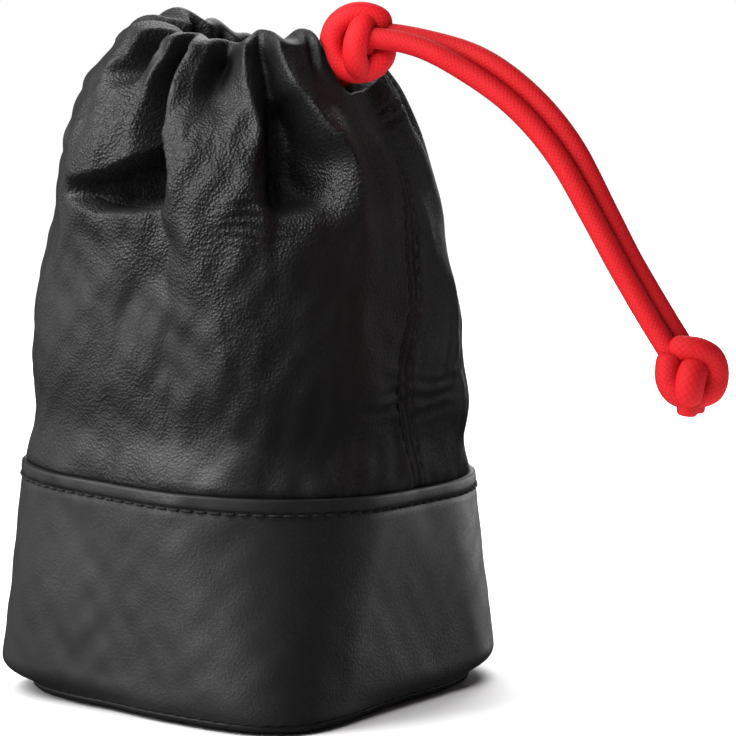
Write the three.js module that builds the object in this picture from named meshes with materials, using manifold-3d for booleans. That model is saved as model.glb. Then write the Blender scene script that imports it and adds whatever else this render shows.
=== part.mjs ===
// Drawstring lens pouch: black leather, padded base, red cord with a slide knot and an end knot.
// Millimetres, +Z up. The origin is the middle of the underside, and the side seam faces +X.
import * as THREE from "three";
import { mergeVertices } from "three/addons/utils/BufferGeometryUtils.js";
import Module from "manifold-3d";

// Outline of the pouch
const baseHalfWidth = 41.2;
const baseCornerRadius = 19.4;
const seamHalfWidth = 41.8;
const seamCornerRadius = 33.7;
const bandHeight = 44.5;
const bandTilt = 2.1;
const rimHeight = 129.5;
const rimTilt = 4.5;
const rimLowAzimuth = -15;
const mouthRadius = 14.5;

// Waves of the rim: azimuth and half-width in degrees, and height
const rimWaves = [
  { azimuth: 185, halfWidth: 35, height: 1 },
  { azimuth: 112, halfWidth: 52, height: -4 },
  { azimuth: -140, halfWidth: 34, height: -1.2 },
  { azimuth: -32, halfWidth: 32, height: 4.4 },
];

// Sheet thicknesses, and the clearance between neighbours
const clearance = 0.3;
const panelThickness = 2.2;
const boardThickness = 1.5;
const padThickness = 5;
const bandLeather = 1.8;
const sleeveLeather = 1.6;
const hemLeather = 1.4;
const foamThickness = 3;
const liningThickness = 0.8;
const tapeThickness = 0.8;
const tapeWidth = 8;

// Folded edge, tuck and hem
const panelEdgeRadius = 1.1;
const panelUnderRound = 3.2;
const panelInset = 0.4;
const baseEdgeInset = 1.4;
const baseEdgeHeight = 5;
const padEdgeShare = 0.25;
const foldedEdgeHeight = 2.3;
const foldedEdgeProud = 0.25;
const tuckDepth = 7;
const hemDrop = 9.5;
const casingSlack = 0.5;

// Places on the base's edge where the leather rounds off further than along the sides, or less where
// the inset is negative: azimuth and half-width in degrees, and inset
const edgeRounds = [
  { azimuth: 45, halfWidth: 30, inset: 4.2 },
  { azimuth: 135, halfWidth: 30, inset: 3 },
  { azimuth: -135, halfWidth: 34, inset: 4.6 },
  { azimuth: -100, halfWidth: 40, inset: 1.4 },
  { azimuth: -33, halfWidth: 30, inset: -1.6 },
];

// Threads
const threadDiameter = 0.6;
const threadStandoff = 0.1;
const topstitchDrop = 3;
const sideRowSpacing = 3.6;
const sideStitchMargin = 0.05;

// Cord and knots
const cordDiameter = 4;
const strandGap = 0.3;
const boreClearance = 0.4;
const cordDepth = 6;
const slideKnotRadius = 6.9;
const slideKnotOut = 27.2;
const slideKnotRise = 3.6;
const slideKnotSink = 0.8;
const endKnotRadius = 6.7;
const endKnotSquash = 0.86;
const knotRelief = 0.45;
const knotClearance = 1.2;
const tipLength = 2;
const tailAzimuth = 8;
const tailArcRadius = 54;

// Shape of the gathered sleeve, from the band's top (0) to the rim (1): how far the wall keeps the
// band's width (1) or has drawn in to the throat (0), and how round its section is
const sleeveShape = [
  { at: 0, width: 1, round: 0.79 },
  { at: 0.03, width: 1.04, round: 0.8 },
  { at: 0.1, width: 0.955, round: 0.79 },
  { at: 0.23, width: 0.995, round: 0.79 },
  { at: 0.36, width: 0.96, round: 0.8 },
  { at: 0.51, width: 0.855, round: 0.835 },
  { at: 0.65, width: 0.72, round: 0.88 },
  { at: 0.77, width: 0.49, round: 0.94 },
  { at: 0.87, width: 0.21, round: 1 },
  { at: 0.94, width: 0.04, round: 1 },
  { at: 1, width: -0.03, round: 1 },
];

// Gathers at the mouth: azimuth and half-width in degrees, share of the full height, and how far
// up the wall each one starts
const gatherHeight = 6.2;
const gathers = [
  { azimuth: -140, halfWidth: 19, share: 1, start: 0.5 },
  { azimuth: -106, halfWidth: 19, share: 1.12, start: 0.4 },
  { azimuth: -75, halfWidth: 14, share: 0.95, start: 0.32 },
  { azimuth: -53, halfWidth: 13, share: 0.62, start: 0.55 },
  { azimuth: -29, halfWidth: 16, share: 1, start: 0.48 },
  { azimuth: 25, halfWidth: 16, share: 1.05, start: 0.5 },
  { azimuth: 53, halfWidth: 16, share: 1.15, start: 0.5 },
  { azimuth: 83, halfWidth: 17, share: 1, start: 0.5 },
  { azimuth: 114, halfWidth: 17, share: 0.9, start: 0.42 },
  { azimuth: 144, halfWidth: 17, share: 1, start: 0.5 },
  { azimuth: 174, halfWidth: 17, share: 0.95, start: 0.46 },
  { azimuth: 198, halfWidth: 15, share: 0.85, start: 0.52 },
];
const gatherRun = 0.4;
const rimFadeFrom = 0.85;
const rimFadeShare = 0.6;

// Swells and dents of the wall: azimuth and half-width in degrees, place and half-height on the
// wall, and height
const swells = [
  { azimuth: -98, halfWidth: 24, at: 0.61, halfHeight: 0.1, height: -3 },
  { azimuth: 38, halfWidth: 30, at: 0.19, halfHeight: 0.14, height: 1.3 },
];

// Route of the side seam: share of the wall's height and azimuth
const seamRoute = [
  [0, 2.5], [0.1, 1], [0.2, -2], [0.3, -1], [0.39, 3], [0.48, 6], [0.57, 7.5], [0.66, 9], [0.75, 12],
];

// Route of the tails in their own plane: distance out from the slide knot, height over it, and how
// far the pair is rolled about its route, in degrees, where the back tail lies higher
const tailRoute = [
  [-5.6, -0.29, 14], [-3.77, -0.13, 14], [0, 0, 14], [3.77, -0.13, 14],
  [7.52, -0.53, 14], [11.23, -1.18, 14], [14.88, -2.09, 17], [18.47, -3.26, 24],
  [21.96, -4.67, 38], [25.35, -6.32, 54], [28.62, -8.21, 70], [31.74, -10.31, 78],
  [34.71, -12.63, 76], [37.51, -15.16, 68], [40.13, -17.87, 54], [42.55, -20.75, 37],
  [44.77, -23.8, 18], [46.77, -27, 4], [49.6, -31.9, -4], [52.5, -36.9, 4],
  [55.4, -41.9, 18], [58.5, -46.8, 32], [61.7, -51.7, 34], [65, -56.5, 25],
];

// Ends of the loop, from the casing up to the slide knot, measured from the knot's middle
const loopEndBack = [[-9.9, 6.2, -8.5], [-8.2, 4.9, -8.2], [-6.4, 4.1, -7.3], [-4.6, 3.1, -5.7]];
const loopEndFront = [[-9.9, -6.2, -5.8], [-8.2, -4.9, -6.3], [-6.5, -4.2, -6.5], [-4.8, -3.2, -5.9]];
const loopEndAzimuth = 28;

// Resolution
const sectors = 60;
const sleeveLevels = [0.03, 0.1, 0.23, 0.36, 0.5, 0.62, 0.72, 0.76, 0.78, 0.83, 0.88, 0.925, 0.965];
const liningTopLevel = 0.72;
const hemTipLevel = 0.76;
const casingStitchLevel = 0.78;

// Sizes that follow from the driving dimensions
const bandBottom = panelThickness + clearance;
const boardTop = bandBottom + boardThickness;
const padBottom = boardTop + clearance;
const edgeTop = bandBottom + baseEdgeHeight;
const floorBottom = padBottom + padThickness + clearance;
const floorTop = floorBottom + liningThickness;
const cordRadius = cordDiameter / 2;
const casingInner = mouthRadius + hemLeather;
const cordRingRadius = casingInner + clearance + cordRadius;
const throatRadius = cordRingRadius + cordRadius + clearance + sleeveLeather + casingSlack;
const sleeveHalfWidth = seamHalfWidth - bandLeather - clearance;
const strandOffset = (cordDiameter + strandGap) / 2;
const threadOut = threadDiameter / 2 + threadStandoff;
const azimuths = Array.from({ length: sectors }, (_, i) => (360 * i) / sectors);

const wasm = await Module();
wasm.setup();

const { degToRad, euclideanModulo, lerp, smoothstep } = THREE.MathUtils;

// A bump that is 1 at its middle and 0 from one half-width on
function bump(offset, halfWidth) {
  const x = Math.min(Math.abs(offset) / halfWidth, 1);
  return Math.cos((x * Math.PI) / 2) ** 2;
}

const turnFrom = (azimuth, other) => euclideanModulo(azimuth - other + 180, 360) - 180;

// Height of the band's top edge at an azimuth
const bandTopAt = (azimuth) => bandHeight - bandTilt * Math.cos(degToRad(azimuth));

// Height of the rim at an azimuth, with its tilt and waves
function rimAt(azimuth) {
  let height = rimHeight - rimTilt * Math.cos(degToRad(azimuth - rimLowAzimuth));
  for (const wave of rimWaves) {
    height += wave.height * bump(turnFrom(azimuth, wave.azimuth), wave.halfWidth);
  }
  return height;
}

// Distance from the axis to a square with rounded corners, along an azimuth
function squareRadius(azimuth, half, corner) {
  const c = Math.abs(Math.cos(degToRad(azimuth)));
  const s = Math.abs(Math.sin(degToRad(azimuth)));
  const flat = half - corner;
  const onSide = half / Math.max(c, s);
  if (onSide * Math.min(c, s) <= flat) {
    return onSide;
  }
  return flat * (c + s) + Math.sqrt(corner ** 2 - (flat * (c - s)) ** 2);
}

// Outer face of the band, from its bottom edge (0) to its top edge (1)
function bandOuter(azimuth, share) {
  const half = lerp(baseHalfWidth, seamHalfWidth, share);
  const corner = lerp(baseCornerRadius, seamCornerRadius, share);
  return squareRadius(azimuth, half, corner);
}

// Share of the band's height at a height above the ground
function bandShare(azimuth, z) {
  return (z - bandBottom) / (bandTopAt(azimuth) - bandBottom);
}

// How far the band rounds in towards the base at a height: most at its bottom edge, a share of that
// at the pad's bottom, and nothing above the rounded edge
function edgeInset(azimuth, z) {
  let inset = baseEdgeInset;
  for (const round of edgeRounds) {
    inset += round.inset * bump(turnFrom(azimuth, round.azimuth), round.halfWidth);
  }
  if (z < padBottom) {
    return inset * lerp(1, padEdgeShare, (z - bandBottom) / (padBottom - bandBottom));
  }
  const up = Math.min((z - padBottom) / (edgeTop - padBottom), 1);
  return inset * padEdgeShare * (1 - up);
}

// Outer face of the band at a height, with its rounded lower edge
function bandFace(azimuth, z) {
  return bandOuter(azimuth, bandShare(azimuth, z)) - edgeInset(azimuth, z);
}

// Heights that the layers behind the band share, from the foam's bottom to its top
function foamHeights(azimuth) {
  const top = bandTopAt(azimuth) - tuckDepth - clearance;
  return [padBottom, edgeTop, lerp(edgeTop, top, 0.5), top];
}

// Row of the sleeve's shape at a share of its height, on straight lines between the listed rows
function shapeAt(share) {
  const last = sleeveShape.length - 1;
  const next = Math.min(Math.max(sleeveShape.findIndex((row) => row.at > share), 1), last);
  const below = sleeveShape[next - 1];
  const above = sleeveShape[share >= sleeveShape[last].at ? last : next];
  const span = above.at - below.at;
  const blend = span === 0 ? 0 : THREE.MathUtils.clamp((share - below.at) / span, 0, 1);
  return { width: lerp(below.width, above.width, blend), round: lerp(below.round, above.round, blend) };
}

// Azimuth of the side seam at a share of the wall's height
function seamAt(share) {
  const next = Math.max(seamRoute.findIndex(([at]) => at > share), 1);
  const [[low, from], [high, to]] = [seamRoute[next - 1], seamRoute[next]];
  return lerp(from, to, (share - low) / (high - low));
}

// Outer face of the sleeve: a rounded square that draws in to the throat, with its gathers and swells
function sleeveOuter(azimuth, share) {
  const shape = shapeAt(share);
  const half = lerp(throatRadius, sleeveHalfWidth, shape.width);
  let radius = squareRadius(azimuth, half, half * shape.round);
  const rimFade = 1 - rimFadeShare * smoothstep(share, rimFadeFrom, 1);
  for (const fold of gathers) {
    const rise = smoothstep(share, fold.start, fold.start + gatherRun) * rimFade;
    radius += gatherHeight * fold.share * rise * bump(turnFrom(azimuth, fold.azimuth), fold.halfWidth);
  }
  for (const swell of swells) {
    const across = bump(turnFrom(azimuth, swell.azimuth), swell.halfWidth);
    radius += swell.height * across * bump(share - swell.at, swell.halfHeight);
  }
  return radius;
}

// Radial thickness of a sheet laid under the sleeve's face, thicker where a gather's flank is steep
function radialThickness(azimuth, share, thickness) {
  const step = 1;
  const rise = sleeveOuter(azimuth + step, share) - sleeveOuter(azimuth - step, share);
  const slope = rise / (2 * degToRad(step)) / sleeveOuter(azimuth, share);
  return thickness * Math.hypot(1, slope);
}

// Radius under the sleeve's face, below some thickness of sheet
function sleeveUnder(azimuth, share, thickness) {
  return sleeveOuter(azimuth, share) - radialThickness(azimuth, share, thickness);
}

const sleeveHeight = (azimuth, share) => lerp(bandTopAt(azimuth), rimAt(azimuth), share);

// A point at a radius and height on an azimuth
function polar(azimuth, radius, height) {
  return new THREE.Vector3(
    radius * Math.cos(degToRad(azimuth)),
    radius * Math.sin(degToRad(azimuth)),
    height,
  );
}

// Closed solid through a row of sections, each with the same number of points. The row either
// closes on itself or is capped at both ends. Faces split from low to high along the row, so that
// the facing sides of two neighbours split alike.
function skin(sections, closed) {
  const count = sections[0].length;
  const positions = sections.flat().flatMap((point) => point.toArray());
  const indices = [];
  const spans = closed ? sections.length : sections.length - 1;
  for (let i = 0; i < spans; i += 1) {
    const here = i * count;
    const there = ((i + 1) % sections.length) * count;
    for (let j = 0; j < count; j += 1) {
      const k = (j + 1) % count;
      if (sections[i][k].z >= sections[i][j].z) {
        indices.push(here + j, there + j, there + k, here + j, there + k, here + k);
      } else {
        indices.push(here + j, there + j, here + k, there + j, there + k, here + k);
      }
    }
  }
  if (!closed) {
    const end = (sections.length - 1) * count;
    for (let j = 1; j < count - 1; j += 1) {
      indices.push(0, j, j + 1, end, end + j + 1, end + j);
    }
  }
  const geometry = new THREE.BufferGeometry();
  geometry.setAttribute("position", new THREE.Float32BufferAttribute(positions, 3));
  geometry.setIndex(indices);
  geometry.computeVertexNormals();
  return geometry;
}

// Ring whose section, a list of radius and height pairs, is worked out for each azimuth
function ring(sectionAt) {
  const sections = azimuths.map((azimuth) => {
    return sectionAt(azimuth).map(([radius, height]) => polar(azimuth, radius, height));
  });
  return skin(sections, true);
}

// Thread ring that lies on a face
function threadRing(radiusAt, heightAt) {
  const half = threadDiameter / 2;
  return ring((azimuth) => {
    const radius = radiusAt(azimuth) + threadOut;
    const height = heightAt(azimuth);
    return [
      [radius, height - half],
      [radius + half, height],
      [radius, height + half],
      [radius - half, height],
    ];
  });
}

// Outline that stays inside the band's face between two heights, drawn in by an inset
function outlineWithin(bottom, top, inset) {
  const points = azimuths.map((azimuth) => {
    const face = Math.min(bandFace(azimuth, bottom), bandFace(azimuth, top));
    const { x, y } = polar(azimuth, face - inset, bottom);
    return new THREE.Vector2(x, y);
  });
  return new THREE.Shape(points);
}

// Flat slab that fills the pouch's section from a height up, drawn in by an inset
function slab(bottom, thickness, inset) {
  const outline = outlineWithin(bottom, bottom + thickness, inset);
  const geometry = new THREE.ExtrudeGeometry(outline, { depth: thickness, bevelEnabled: false });
  return geometry.translate(0, 0, bottom);
}

// Round tube along a list of points
function tube(points, radius, steps) {
  const section = new THREE.Shape().absarc(0, 0, radius, 0, 2 * Math.PI);
  const extrudePath = new THREE.CatmullRomCurve3(points);
  return new THREE.ExtrudeGeometry(section, { extrudePath, steps, curveSegments: 4 });
}

// Solids for cuts and joins
function toSolid(geometry) {
  const plain = geometry.clone();
  plain.deleteAttribute("normal");
  plain.deleteAttribute("uv");
  const merged = mergeVertices(plain, 1e-4);
  const vertProperties = new Float32Array(merged.attributes.position.array);
  return new wasm.Manifold(new wasm.Mesh({
    numProp: 3,
    vertProperties,
    triVerts: new Uint32Array(merged.index.array),
  }));
}

function toGeometry(solid) {
  const mesh = solid.getMesh();
  const geometry = new THREE.BufferGeometry();
  geometry.setAttribute("position", new THREE.Float32BufferAttribute(mesh.vertProperties, 3));
  geometry.setIndex(Array.from(mesh.triVerts));
  geometry.computeVertexNormals();
  return geometry;
}

// Solid on the ground that fills the base panel's outline and rounds in at both ends
function roundedPanel(height, rise, inset) {
  const geometry = new THREE.ExtrudeGeometry(outlineWithin(bandBottom, bandBottom, panelInset), {
    depth: height - 2 * rise,
    bevelThickness: rise,
    bevelSize: inset,
    bevelOffset: -inset,
    bevelSegments: 2,
  });
  return toSolid(geometry.translate(0, 0, rise));
}

// Base panel with a rounded edge that draws in further towards the ground
function makeBasePanel() {
  const edged = roundedPanel(panelThickness, panelEdgeRadius, panelEdgeRadius);
  const under = roundedPanel(3 * panelThickness, panelThickness, panelUnderRound);
  return toGeometry(edged.intersect(under));
}

// Band with a rounded lower edge and a folded, slightly proud top edge
function makeBand() {
  return ring((azimuth) => {
    const top = bandTopAt(azimuth);
    const outer = (z) => bandFace(azimuth, z);
    const foldBottom = top - foldedEdgeHeight;
    const layers = foamHeights(azimuth);
    const lip = outer(top) + foldedEdgeProud;
    return [
      ...[bandBottom, ...layers].map((z) => [outer(z), z]),
      [outer(foldBottom), foldBottom - foldedEdgeProud],
      [lip, foldBottom],
      [lip, top - foldedEdgeProud],
      [lip - foldedEdgeProud, top],
      ...[bandBottom, ...layers, top].reverse().map((z) => [outer(z) - bandLeather, z]),
    ];
  });
}

// Foam strip that stands on the board behind the band, below the sleeve's tuck
function makeFoam() {
  return ring((azimuth) => {
    const heights = foamHeights(azimuth);
    const outer = (z) => bandFace(azimuth, z) - bandLeather - clearance;
    return [
      ...heights.map((z) => [outer(z), z]),
      ...heights.reverse().map((z) => [outer(z) - foamThickness, z]),
    ];
  });
}

// Sleeve: the tuck behind the band, the gathered wall, the rim, and the hem that turns down inside
// and runs out to the wall again, so that the cord's casing lies between
function makeSleeve() {
  const whole = ring((azimuth) => {
    const rim = rimAt(azimuth);
    const top = bandTopAt(azimuth);
    const tuckBottom = top - tuckDepth;
    const behindBand = (z) => bandFace(azimuth, z) - bandLeather - clearance;
    const wall = sleeveLevels.map((share) => [sleeveOuter(azimuth, share), sleeveHeight(azimuth, share)]);
    const inside = sleeveLevels.map((share) => [
      sleeveUnder(azimuth, share, sleeveLeather),
      sleeveHeight(azimuth, share),
    ]);
    const shoulder = wall.at(-1)[0];
    const crown = (shoulder + mouthRadius) / 2;
    const tipRadius = sleeveUnder(azimuth, hemTipLevel, sleeveLeather) - clearance;
    const tipHeight = sleeveHeight(azimuth, hemTipLevel);
    return [
      [behindBand(tuckBottom), tuckBottom],
      [behindBand(top), top],
      ...wall,
      [shoulder - hemLeather, rim - 0.7 * hemLeather],
      [crown, rim],
      [mouthRadius + 0.7 * hemLeather, rim - 0.6 * hemLeather],
      [mouthRadius, rim - 2 * hemLeather],
      [mouthRadius, rim - hemDrop - 0.6 * hemLeather],
      [tipRadius - 0.8 * hemLeather, tipHeight - 0.6 * hemLeather],
      [tipRadius, tipHeight],
      [casingInner, rim - hemDrop],
      [casingInner, rim - 2 * hemLeather],
      [crown, rim - 1.3 * hemLeather],
      ...inside.reverse(),
      [behindBand(top) - sleeveLeather, top],
      [behindBand(tuckBottom) - sleeveLeather, tuckBottom],
    ];
  });
  return toGeometry(toSolid(whole).subtract(toSolid(makeNotch())));
}

// Cutter for the gap in the casing at the side seam, where both ends of the cord come out
function makeNotch() {
  const halfWidth = slideKnotRadius + knotRelief + knotClearance;
  const lowestRim = Math.min(rimAt(loopEndAzimuth), rimAt(-loopEndAzimuth));
  const floor = lowestRim - cordDepth - cordRadius - 2 * clearance;
  const height = rimHeight + rimTilt - floor;
  const reach = slideKnotOut + slideKnotRadius;
  const geometry = new THREE.BoxGeometry(reach, 2 * halfWidth, height);
  return geometry.translate(mouthRadius / 2 + reach / 2, 0, floor + height / 2);
}

// Lining of the wall, from the floor up to the hem
function makeLining() {
  const levels = sleeveLevels.filter((share) => share <= liningTopLevel);
  const underSleeve = sleeveLeather + tapeThickness;
  return ring((azimuth) => {
    const bottom = floorTop + clearance;
    const above = foamHeights(azimuth).filter((z) => z > bottom + clearance);
    const heights = [bottom, ...above, bandTopAt(azimuth)];
    const outer = (z) => {
      const inset = bandLeather + foamThickness + 2 * clearance;
      return bandFace(azimuth, z) - inset;
    };
    const wall = levels.map((share) => [
      sleeveUnder(azimuth, share, underSleeve) - 2 * clearance,
      sleeveHeight(azimuth, share),
    ]);
    const inside = levels.map((share) => [
      sleeveUnder(azimuth, share, underSleeve + liningThickness) - 2 * clearance,
      sleeveHeight(azimuth, share),
    ]);
    return [
      ...heights.map((z) => [outer(z), z]),
      ...wall,
      ...inside.reverse(),
      ...heights.reverse().map((z) => [outer(z) - liningThickness, z]),
    ];
  });
}

// Tape behind the side seam, between sleeve and lining
function makeSeamTape() {
  const levels = sleeveLevels.filter((share) => share <= liningTopLevel);
  const sections = levels.map((share) => {
    const middle = seamAt(share);
    const halfTurn = THREE.MathUtils.radToDeg(tapeWidth / 2 / sleeveOuter(middle, share));
    const across = [middle + halfTurn, middle, middle - halfTurn];
    const height = sleeveHeight(middle, share);
    const face = (azimuth, depth) => {
      return polar(azimuth, sleeveUnder(azimuth, share, sleeveLeather) - clearance - depth, height);
    };
    const outside = across.map((azimuth) => face(azimuth, 0));
    const inside = across.map((azimuth) => face(azimuth, tapeThickness));
    return [...outside, ...inside.reverse()];
  });
  return skin(sections, false);
}

// One row of the double stitching beside the side seam
function makeSideStitch(side) {
  const half = threadDiameter / 2;
  const levels = sleeveLevels.filter((share) => share < casingStitchLevel - sideStitchMargin);
  const sections = levels.map((share) => {
    const middle = seamAt(share);
    const radius = sleeveOuter(middle, share);
    const azimuth = middle + side * THREE.MathUtils.radToDeg(sideRowSpacing / 2 / radius);
    const centre = polar(azimuth, sleeveOuter(azimuth, share) + threadOut, sleeveHeight(azimuth, share));
    const out = polar(azimuth, half, 0);
    const along = polar(azimuth - 90, half, 0);
    return [
      centre.clone().add(out),
      centre.clone().add(along),
      centre.clone().sub(out),
      centre.clone().sub(along),
    ];
  });
  return skin(sections, false);
}

// Cord's run in the casing: round the throat, with both ends rising to the slide knot
function makeCordLoop(knotMiddle) {
  const turns = 36;
  const points = loopEndBack.map(([x, y, z]) => new THREE.Vector3(x, y, z).add(knotMiddle)).reverse();
  for (let i = 0; i <= turns; i += 1) {
    const azimuth = lerp(loopEndAzimuth, 360 - loopEndAzimuth, i / turns);
    points.push(polar(azimuth, cordRingRadius, rimAt(azimuth) - cordDepth));
  }
  points.push(...loopEndFront.map(([x, y, z]) => new THREE.Vector3(x, y, z).add(knotMiddle)));
  return tube(points, cordRadius, 56);
}

// Points of one tail in the pull's own frame. The two tails lie side by side, rolled about their
// common route.
function tailPoints(side) {
  return tailRoute.map(([out, up, roll], i) => {
    const before = tailRoute[Math.max(i - 1, 0)];
    const after = tailRoute[Math.min(i + 1, tailRoute.length - 1)];
    const along = new THREE.Vector2(after[0] - before[0], after[1] - before[1]).normalize();
    const across = side * strandOffset * Math.cos(degToRad(roll));
    const lift = side * strandOffset * Math.sin(degToRad(roll));
    return new THREE.Vector3(out - lift * along.y, across, up + lift * along.x);
  });
}

// Ball of woven cord: crossing strands show as a relief of diamonds
function makeKnotBall(radius) {
  const geometry = new THREE.SphereGeometry(radius, 24, 14);
  const position = geometry.attributes.position;
  const point = new THREE.Vector3();
  for (let i = 0; i < position.count; i += 1) {
    point.fromBufferAttribute(position, i);
    const turn = Math.atan2(point.z, point.x);
    const rise = Math.asin(THREE.MathUtils.clamp(point.y / radius, -1, 1));
    const weave = Math.cos(2 * turn + 3 * rise) * Math.cos(2 * turn - 3 * rise) * Math.cos(rise);
    point.setLength(radius + knotRelief * weave);
    position.setXYZ(i, point.x, point.y, point.z);
  }
  return geometry;
}

// Slide knot: a ball with one round bore that both tails run through however they are rolled, on the
// arc that they follow past the knot
function makeSlideKnot() {
  const steps = 8;
  const halfTurn = Math.asin((slideKnotRadius + knotClearance) / tailArcRadius);
  const route = Array.from({ length: steps + 1 }, (_, i) => {
    const turn = lerp(-halfTurn, halfTurn, i / steps);
    return new THREE.Vector3(tailArcRadius * Math.sin(turn), 0, tailArcRadius * (Math.cos(turn) - 1));
  });
  const ball = toSolid(makeKnotBall(slideKnotRadius).translate(0, 0, -slideKnotSink));
  const bore = toSolid(tube(route, strandOffset + cordRadius + boreClearance, steps));
  return toGeometry(ball.subtract(bore));
}

// Finishes
const leather = { color: 0x1d1d1f, roughness: 0.5, metalness: 0 };
const smoothLeather = { color: 0x202022, roughness: 0.42, metalness: 0 };
const thread = { color: 0x141415, roughness: 0.7, metalness: 0 };
const lining = { color: 0x2a2a2c, roughness: 0.95, metalness: 0 };
const foam = { color: 0x3a3a3c, roughness: 1, metalness: 0 };
const board = { color: 0x8a7a60, roughness: 0.9, metalness: 0 };
const redCord = { color: 0xd01622, roughness: 0.6, metalness: 0 };

function piece(name, geometry, finish) {
  const mesh = new THREE.Mesh(geometry, new THREE.MeshStandardMaterial(finish));
  mesh.name = name;
  return mesh;
}

// Assembly
const pouch = new THREE.Group();
const slideKnotMiddle = new THREE.Vector3(slideKnotOut, 0, rimAt(0) + slideKnotRise);
const boardInset = bandLeather + 2 * clearance;
const padInset = boardInset + foamThickness;

pouch.add(
  piece("base_panel", makeBasePanel(), leather),
  piece("base_board", slab(bandBottom, boardThickness, boardInset), board),
  piece("base_pad", slab(padBottom, padThickness, padInset), foam),
  piece("lining_floor", slab(floorBottom, liningThickness, padInset), lining),
  piece("base_band", makeBand(), smoothLeather),
  piece("band_foam", makeFoam(), foam),
  piece("upper_sleeve", makeSleeve(), leather),
  piece("lining_sleeve", makeLining(), lining),
  piece("side_seam_tape", makeSeamTape(), lining),
  piece("side_stitch_front", makeSideStitch(-1), thread),
  piece("side_stitch_back", makeSideStitch(1), thread),
  piece("drawcord_loop", makeCordLoop(slideKnotMiddle), redCord),
);

const topstitchHeight = (azimuth) => bandTopAt(azimuth) - topstitchDrop;
const topstitchFace = (azimuth) => bandFace(azimuth, topstitchHeight(azimuth));
const casingFace = (azimuth) => sleeveOuter(azimuth, casingStitchLevel);
const casingHeight = (azimuth) => sleeveHeight(azimuth, casingStitchLevel);
const creaseFace = (azimuth) => bandFace(azimuth, bandBottom) - panelInset - threadOut;
const creaseHeight = () => panelThickness;
pouch.add(
  piece("band_topstitch", threadRing(topstitchFace, topstitchHeight), thread),
  piece("casing_stitch", threadRing(casingFace, casingHeight), thread),
  piece("base_stitch", threadRing(creaseFace, creaseHeight), thread),
);

// The pull: both tails, the slide knot on them, the end knot and the cut ends below it
const pull = new THREE.Group();
pull.position.copy(slideKnotMiddle);
pull.rotation.z = degToRad(tailAzimuth);
pouch.add(pull);

const tailSteps = 26;
const [tailEnd, tailBefore] = [tailRoute.at(-1), tailRoute.at(-2)];
const downward = new THREE.Vector3(tailEnd[0] - tailBefore[0], 0, tailEnd[1] - tailBefore[1]).normalize();
const endKnotReach = endKnotRadius * endKnotSquash + knotRelief + clearance;
const endKnotMiddle = new THREE.Vector3(tailEnd[0], 0, tailEnd[1]).addScaledVector(downward, endKnotReach);
const endKnot = piece("end_knot", makeKnotBall(endKnotRadius).scale(1, 1, endKnotSquash), redCord);
endKnot.position.copy(endKnotMiddle);
pull.add(endKnot, piece("slide_knot", makeSlideKnot(), redCord));
for (const [name, side] of [["front", -1], ["back", 1]]) {
  pull.add(piece(`tail_${name}`, tube(tailPoints(side), cordRadius, tailSteps), redCord));
  const cutEnd = new THREE.CylinderGeometry(cordRadius, cordRadius, tipLength, 8);
  const tip = piece(`cord_tip_${name}`, cutEnd, redCord);
  tip.position.copy(endKnotMiddle);
  tip.position.y = side * strandOffset;
  tip.position.z -= endKnotReach + tipLength / 2;
  tip.rotation.x = Math.PI / 2;
  pull.add(tip);
}

export default pouch;
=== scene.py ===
"""Dressed model of a drawstring lens pouch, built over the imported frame.

A band of smooth leather stands round the base, a sleeve of pebbled leather rises from it and is
gathered to a mouth, and a red braided drawcord leaves the mouth through a slide knot and ends in a
second knot. Lengths are in millimetres until a mesh is made, and azimuths are in degrees about the
upright axis of the pouch, counted from +X towards +Y.
"""

import logging
from collections.abc import Mapping, Sequence
from dataclasses import dataclass, field
from enum import Enum
from typing import Any

import bpy
import numpy as np
from mathutils import Matrix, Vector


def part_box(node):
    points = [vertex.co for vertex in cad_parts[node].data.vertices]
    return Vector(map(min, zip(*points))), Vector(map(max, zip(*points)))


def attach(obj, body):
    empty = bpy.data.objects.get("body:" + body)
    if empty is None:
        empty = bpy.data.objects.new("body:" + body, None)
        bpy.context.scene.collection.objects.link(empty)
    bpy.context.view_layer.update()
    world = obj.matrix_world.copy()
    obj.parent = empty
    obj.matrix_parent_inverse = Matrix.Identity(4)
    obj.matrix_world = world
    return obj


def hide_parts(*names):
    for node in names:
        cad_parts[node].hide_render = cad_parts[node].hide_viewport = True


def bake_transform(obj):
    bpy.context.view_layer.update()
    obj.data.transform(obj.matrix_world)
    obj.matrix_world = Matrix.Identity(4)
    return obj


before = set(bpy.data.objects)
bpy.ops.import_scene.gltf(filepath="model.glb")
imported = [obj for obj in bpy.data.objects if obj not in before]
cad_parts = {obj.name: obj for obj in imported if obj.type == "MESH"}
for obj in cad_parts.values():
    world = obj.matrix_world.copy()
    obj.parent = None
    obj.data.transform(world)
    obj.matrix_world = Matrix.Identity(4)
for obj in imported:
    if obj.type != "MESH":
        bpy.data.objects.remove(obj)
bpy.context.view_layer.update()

MM = 0.001
# Heading of the camera in degrees, from +Y towards -X.
PHOTO_HEADING = 36.78
# Radius in millimetres that turns a width across the side seam into an azimuth.
SEAM_RADIUS = 38.0
# Power that rounds the small pillows of the braid.
PILLOW_POWER = 0.6
LOG = logging.getLogger("lens_pouch")

Array = np.ndarray
Colour = tuple[float, float, float, float]
Pair = tuple[float, float]
Rows = tuple[tuple[float, ...], ...]


class Body(Enum):
    """The moving bodies of the frame."""

    POUCH = "pouch"
    PULL = "pull"
    KNOT = "slide_knot"


def bump(offset: Array, half: Array | float) -> Array:
    """Hump of 1 in the middle: the squared cosine of offset / half, and 0 from one half width on."""
    return np.cos(np.clip(np.abs(offset) / half, 0, 1) * np.pi / 2) ** 2


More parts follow.
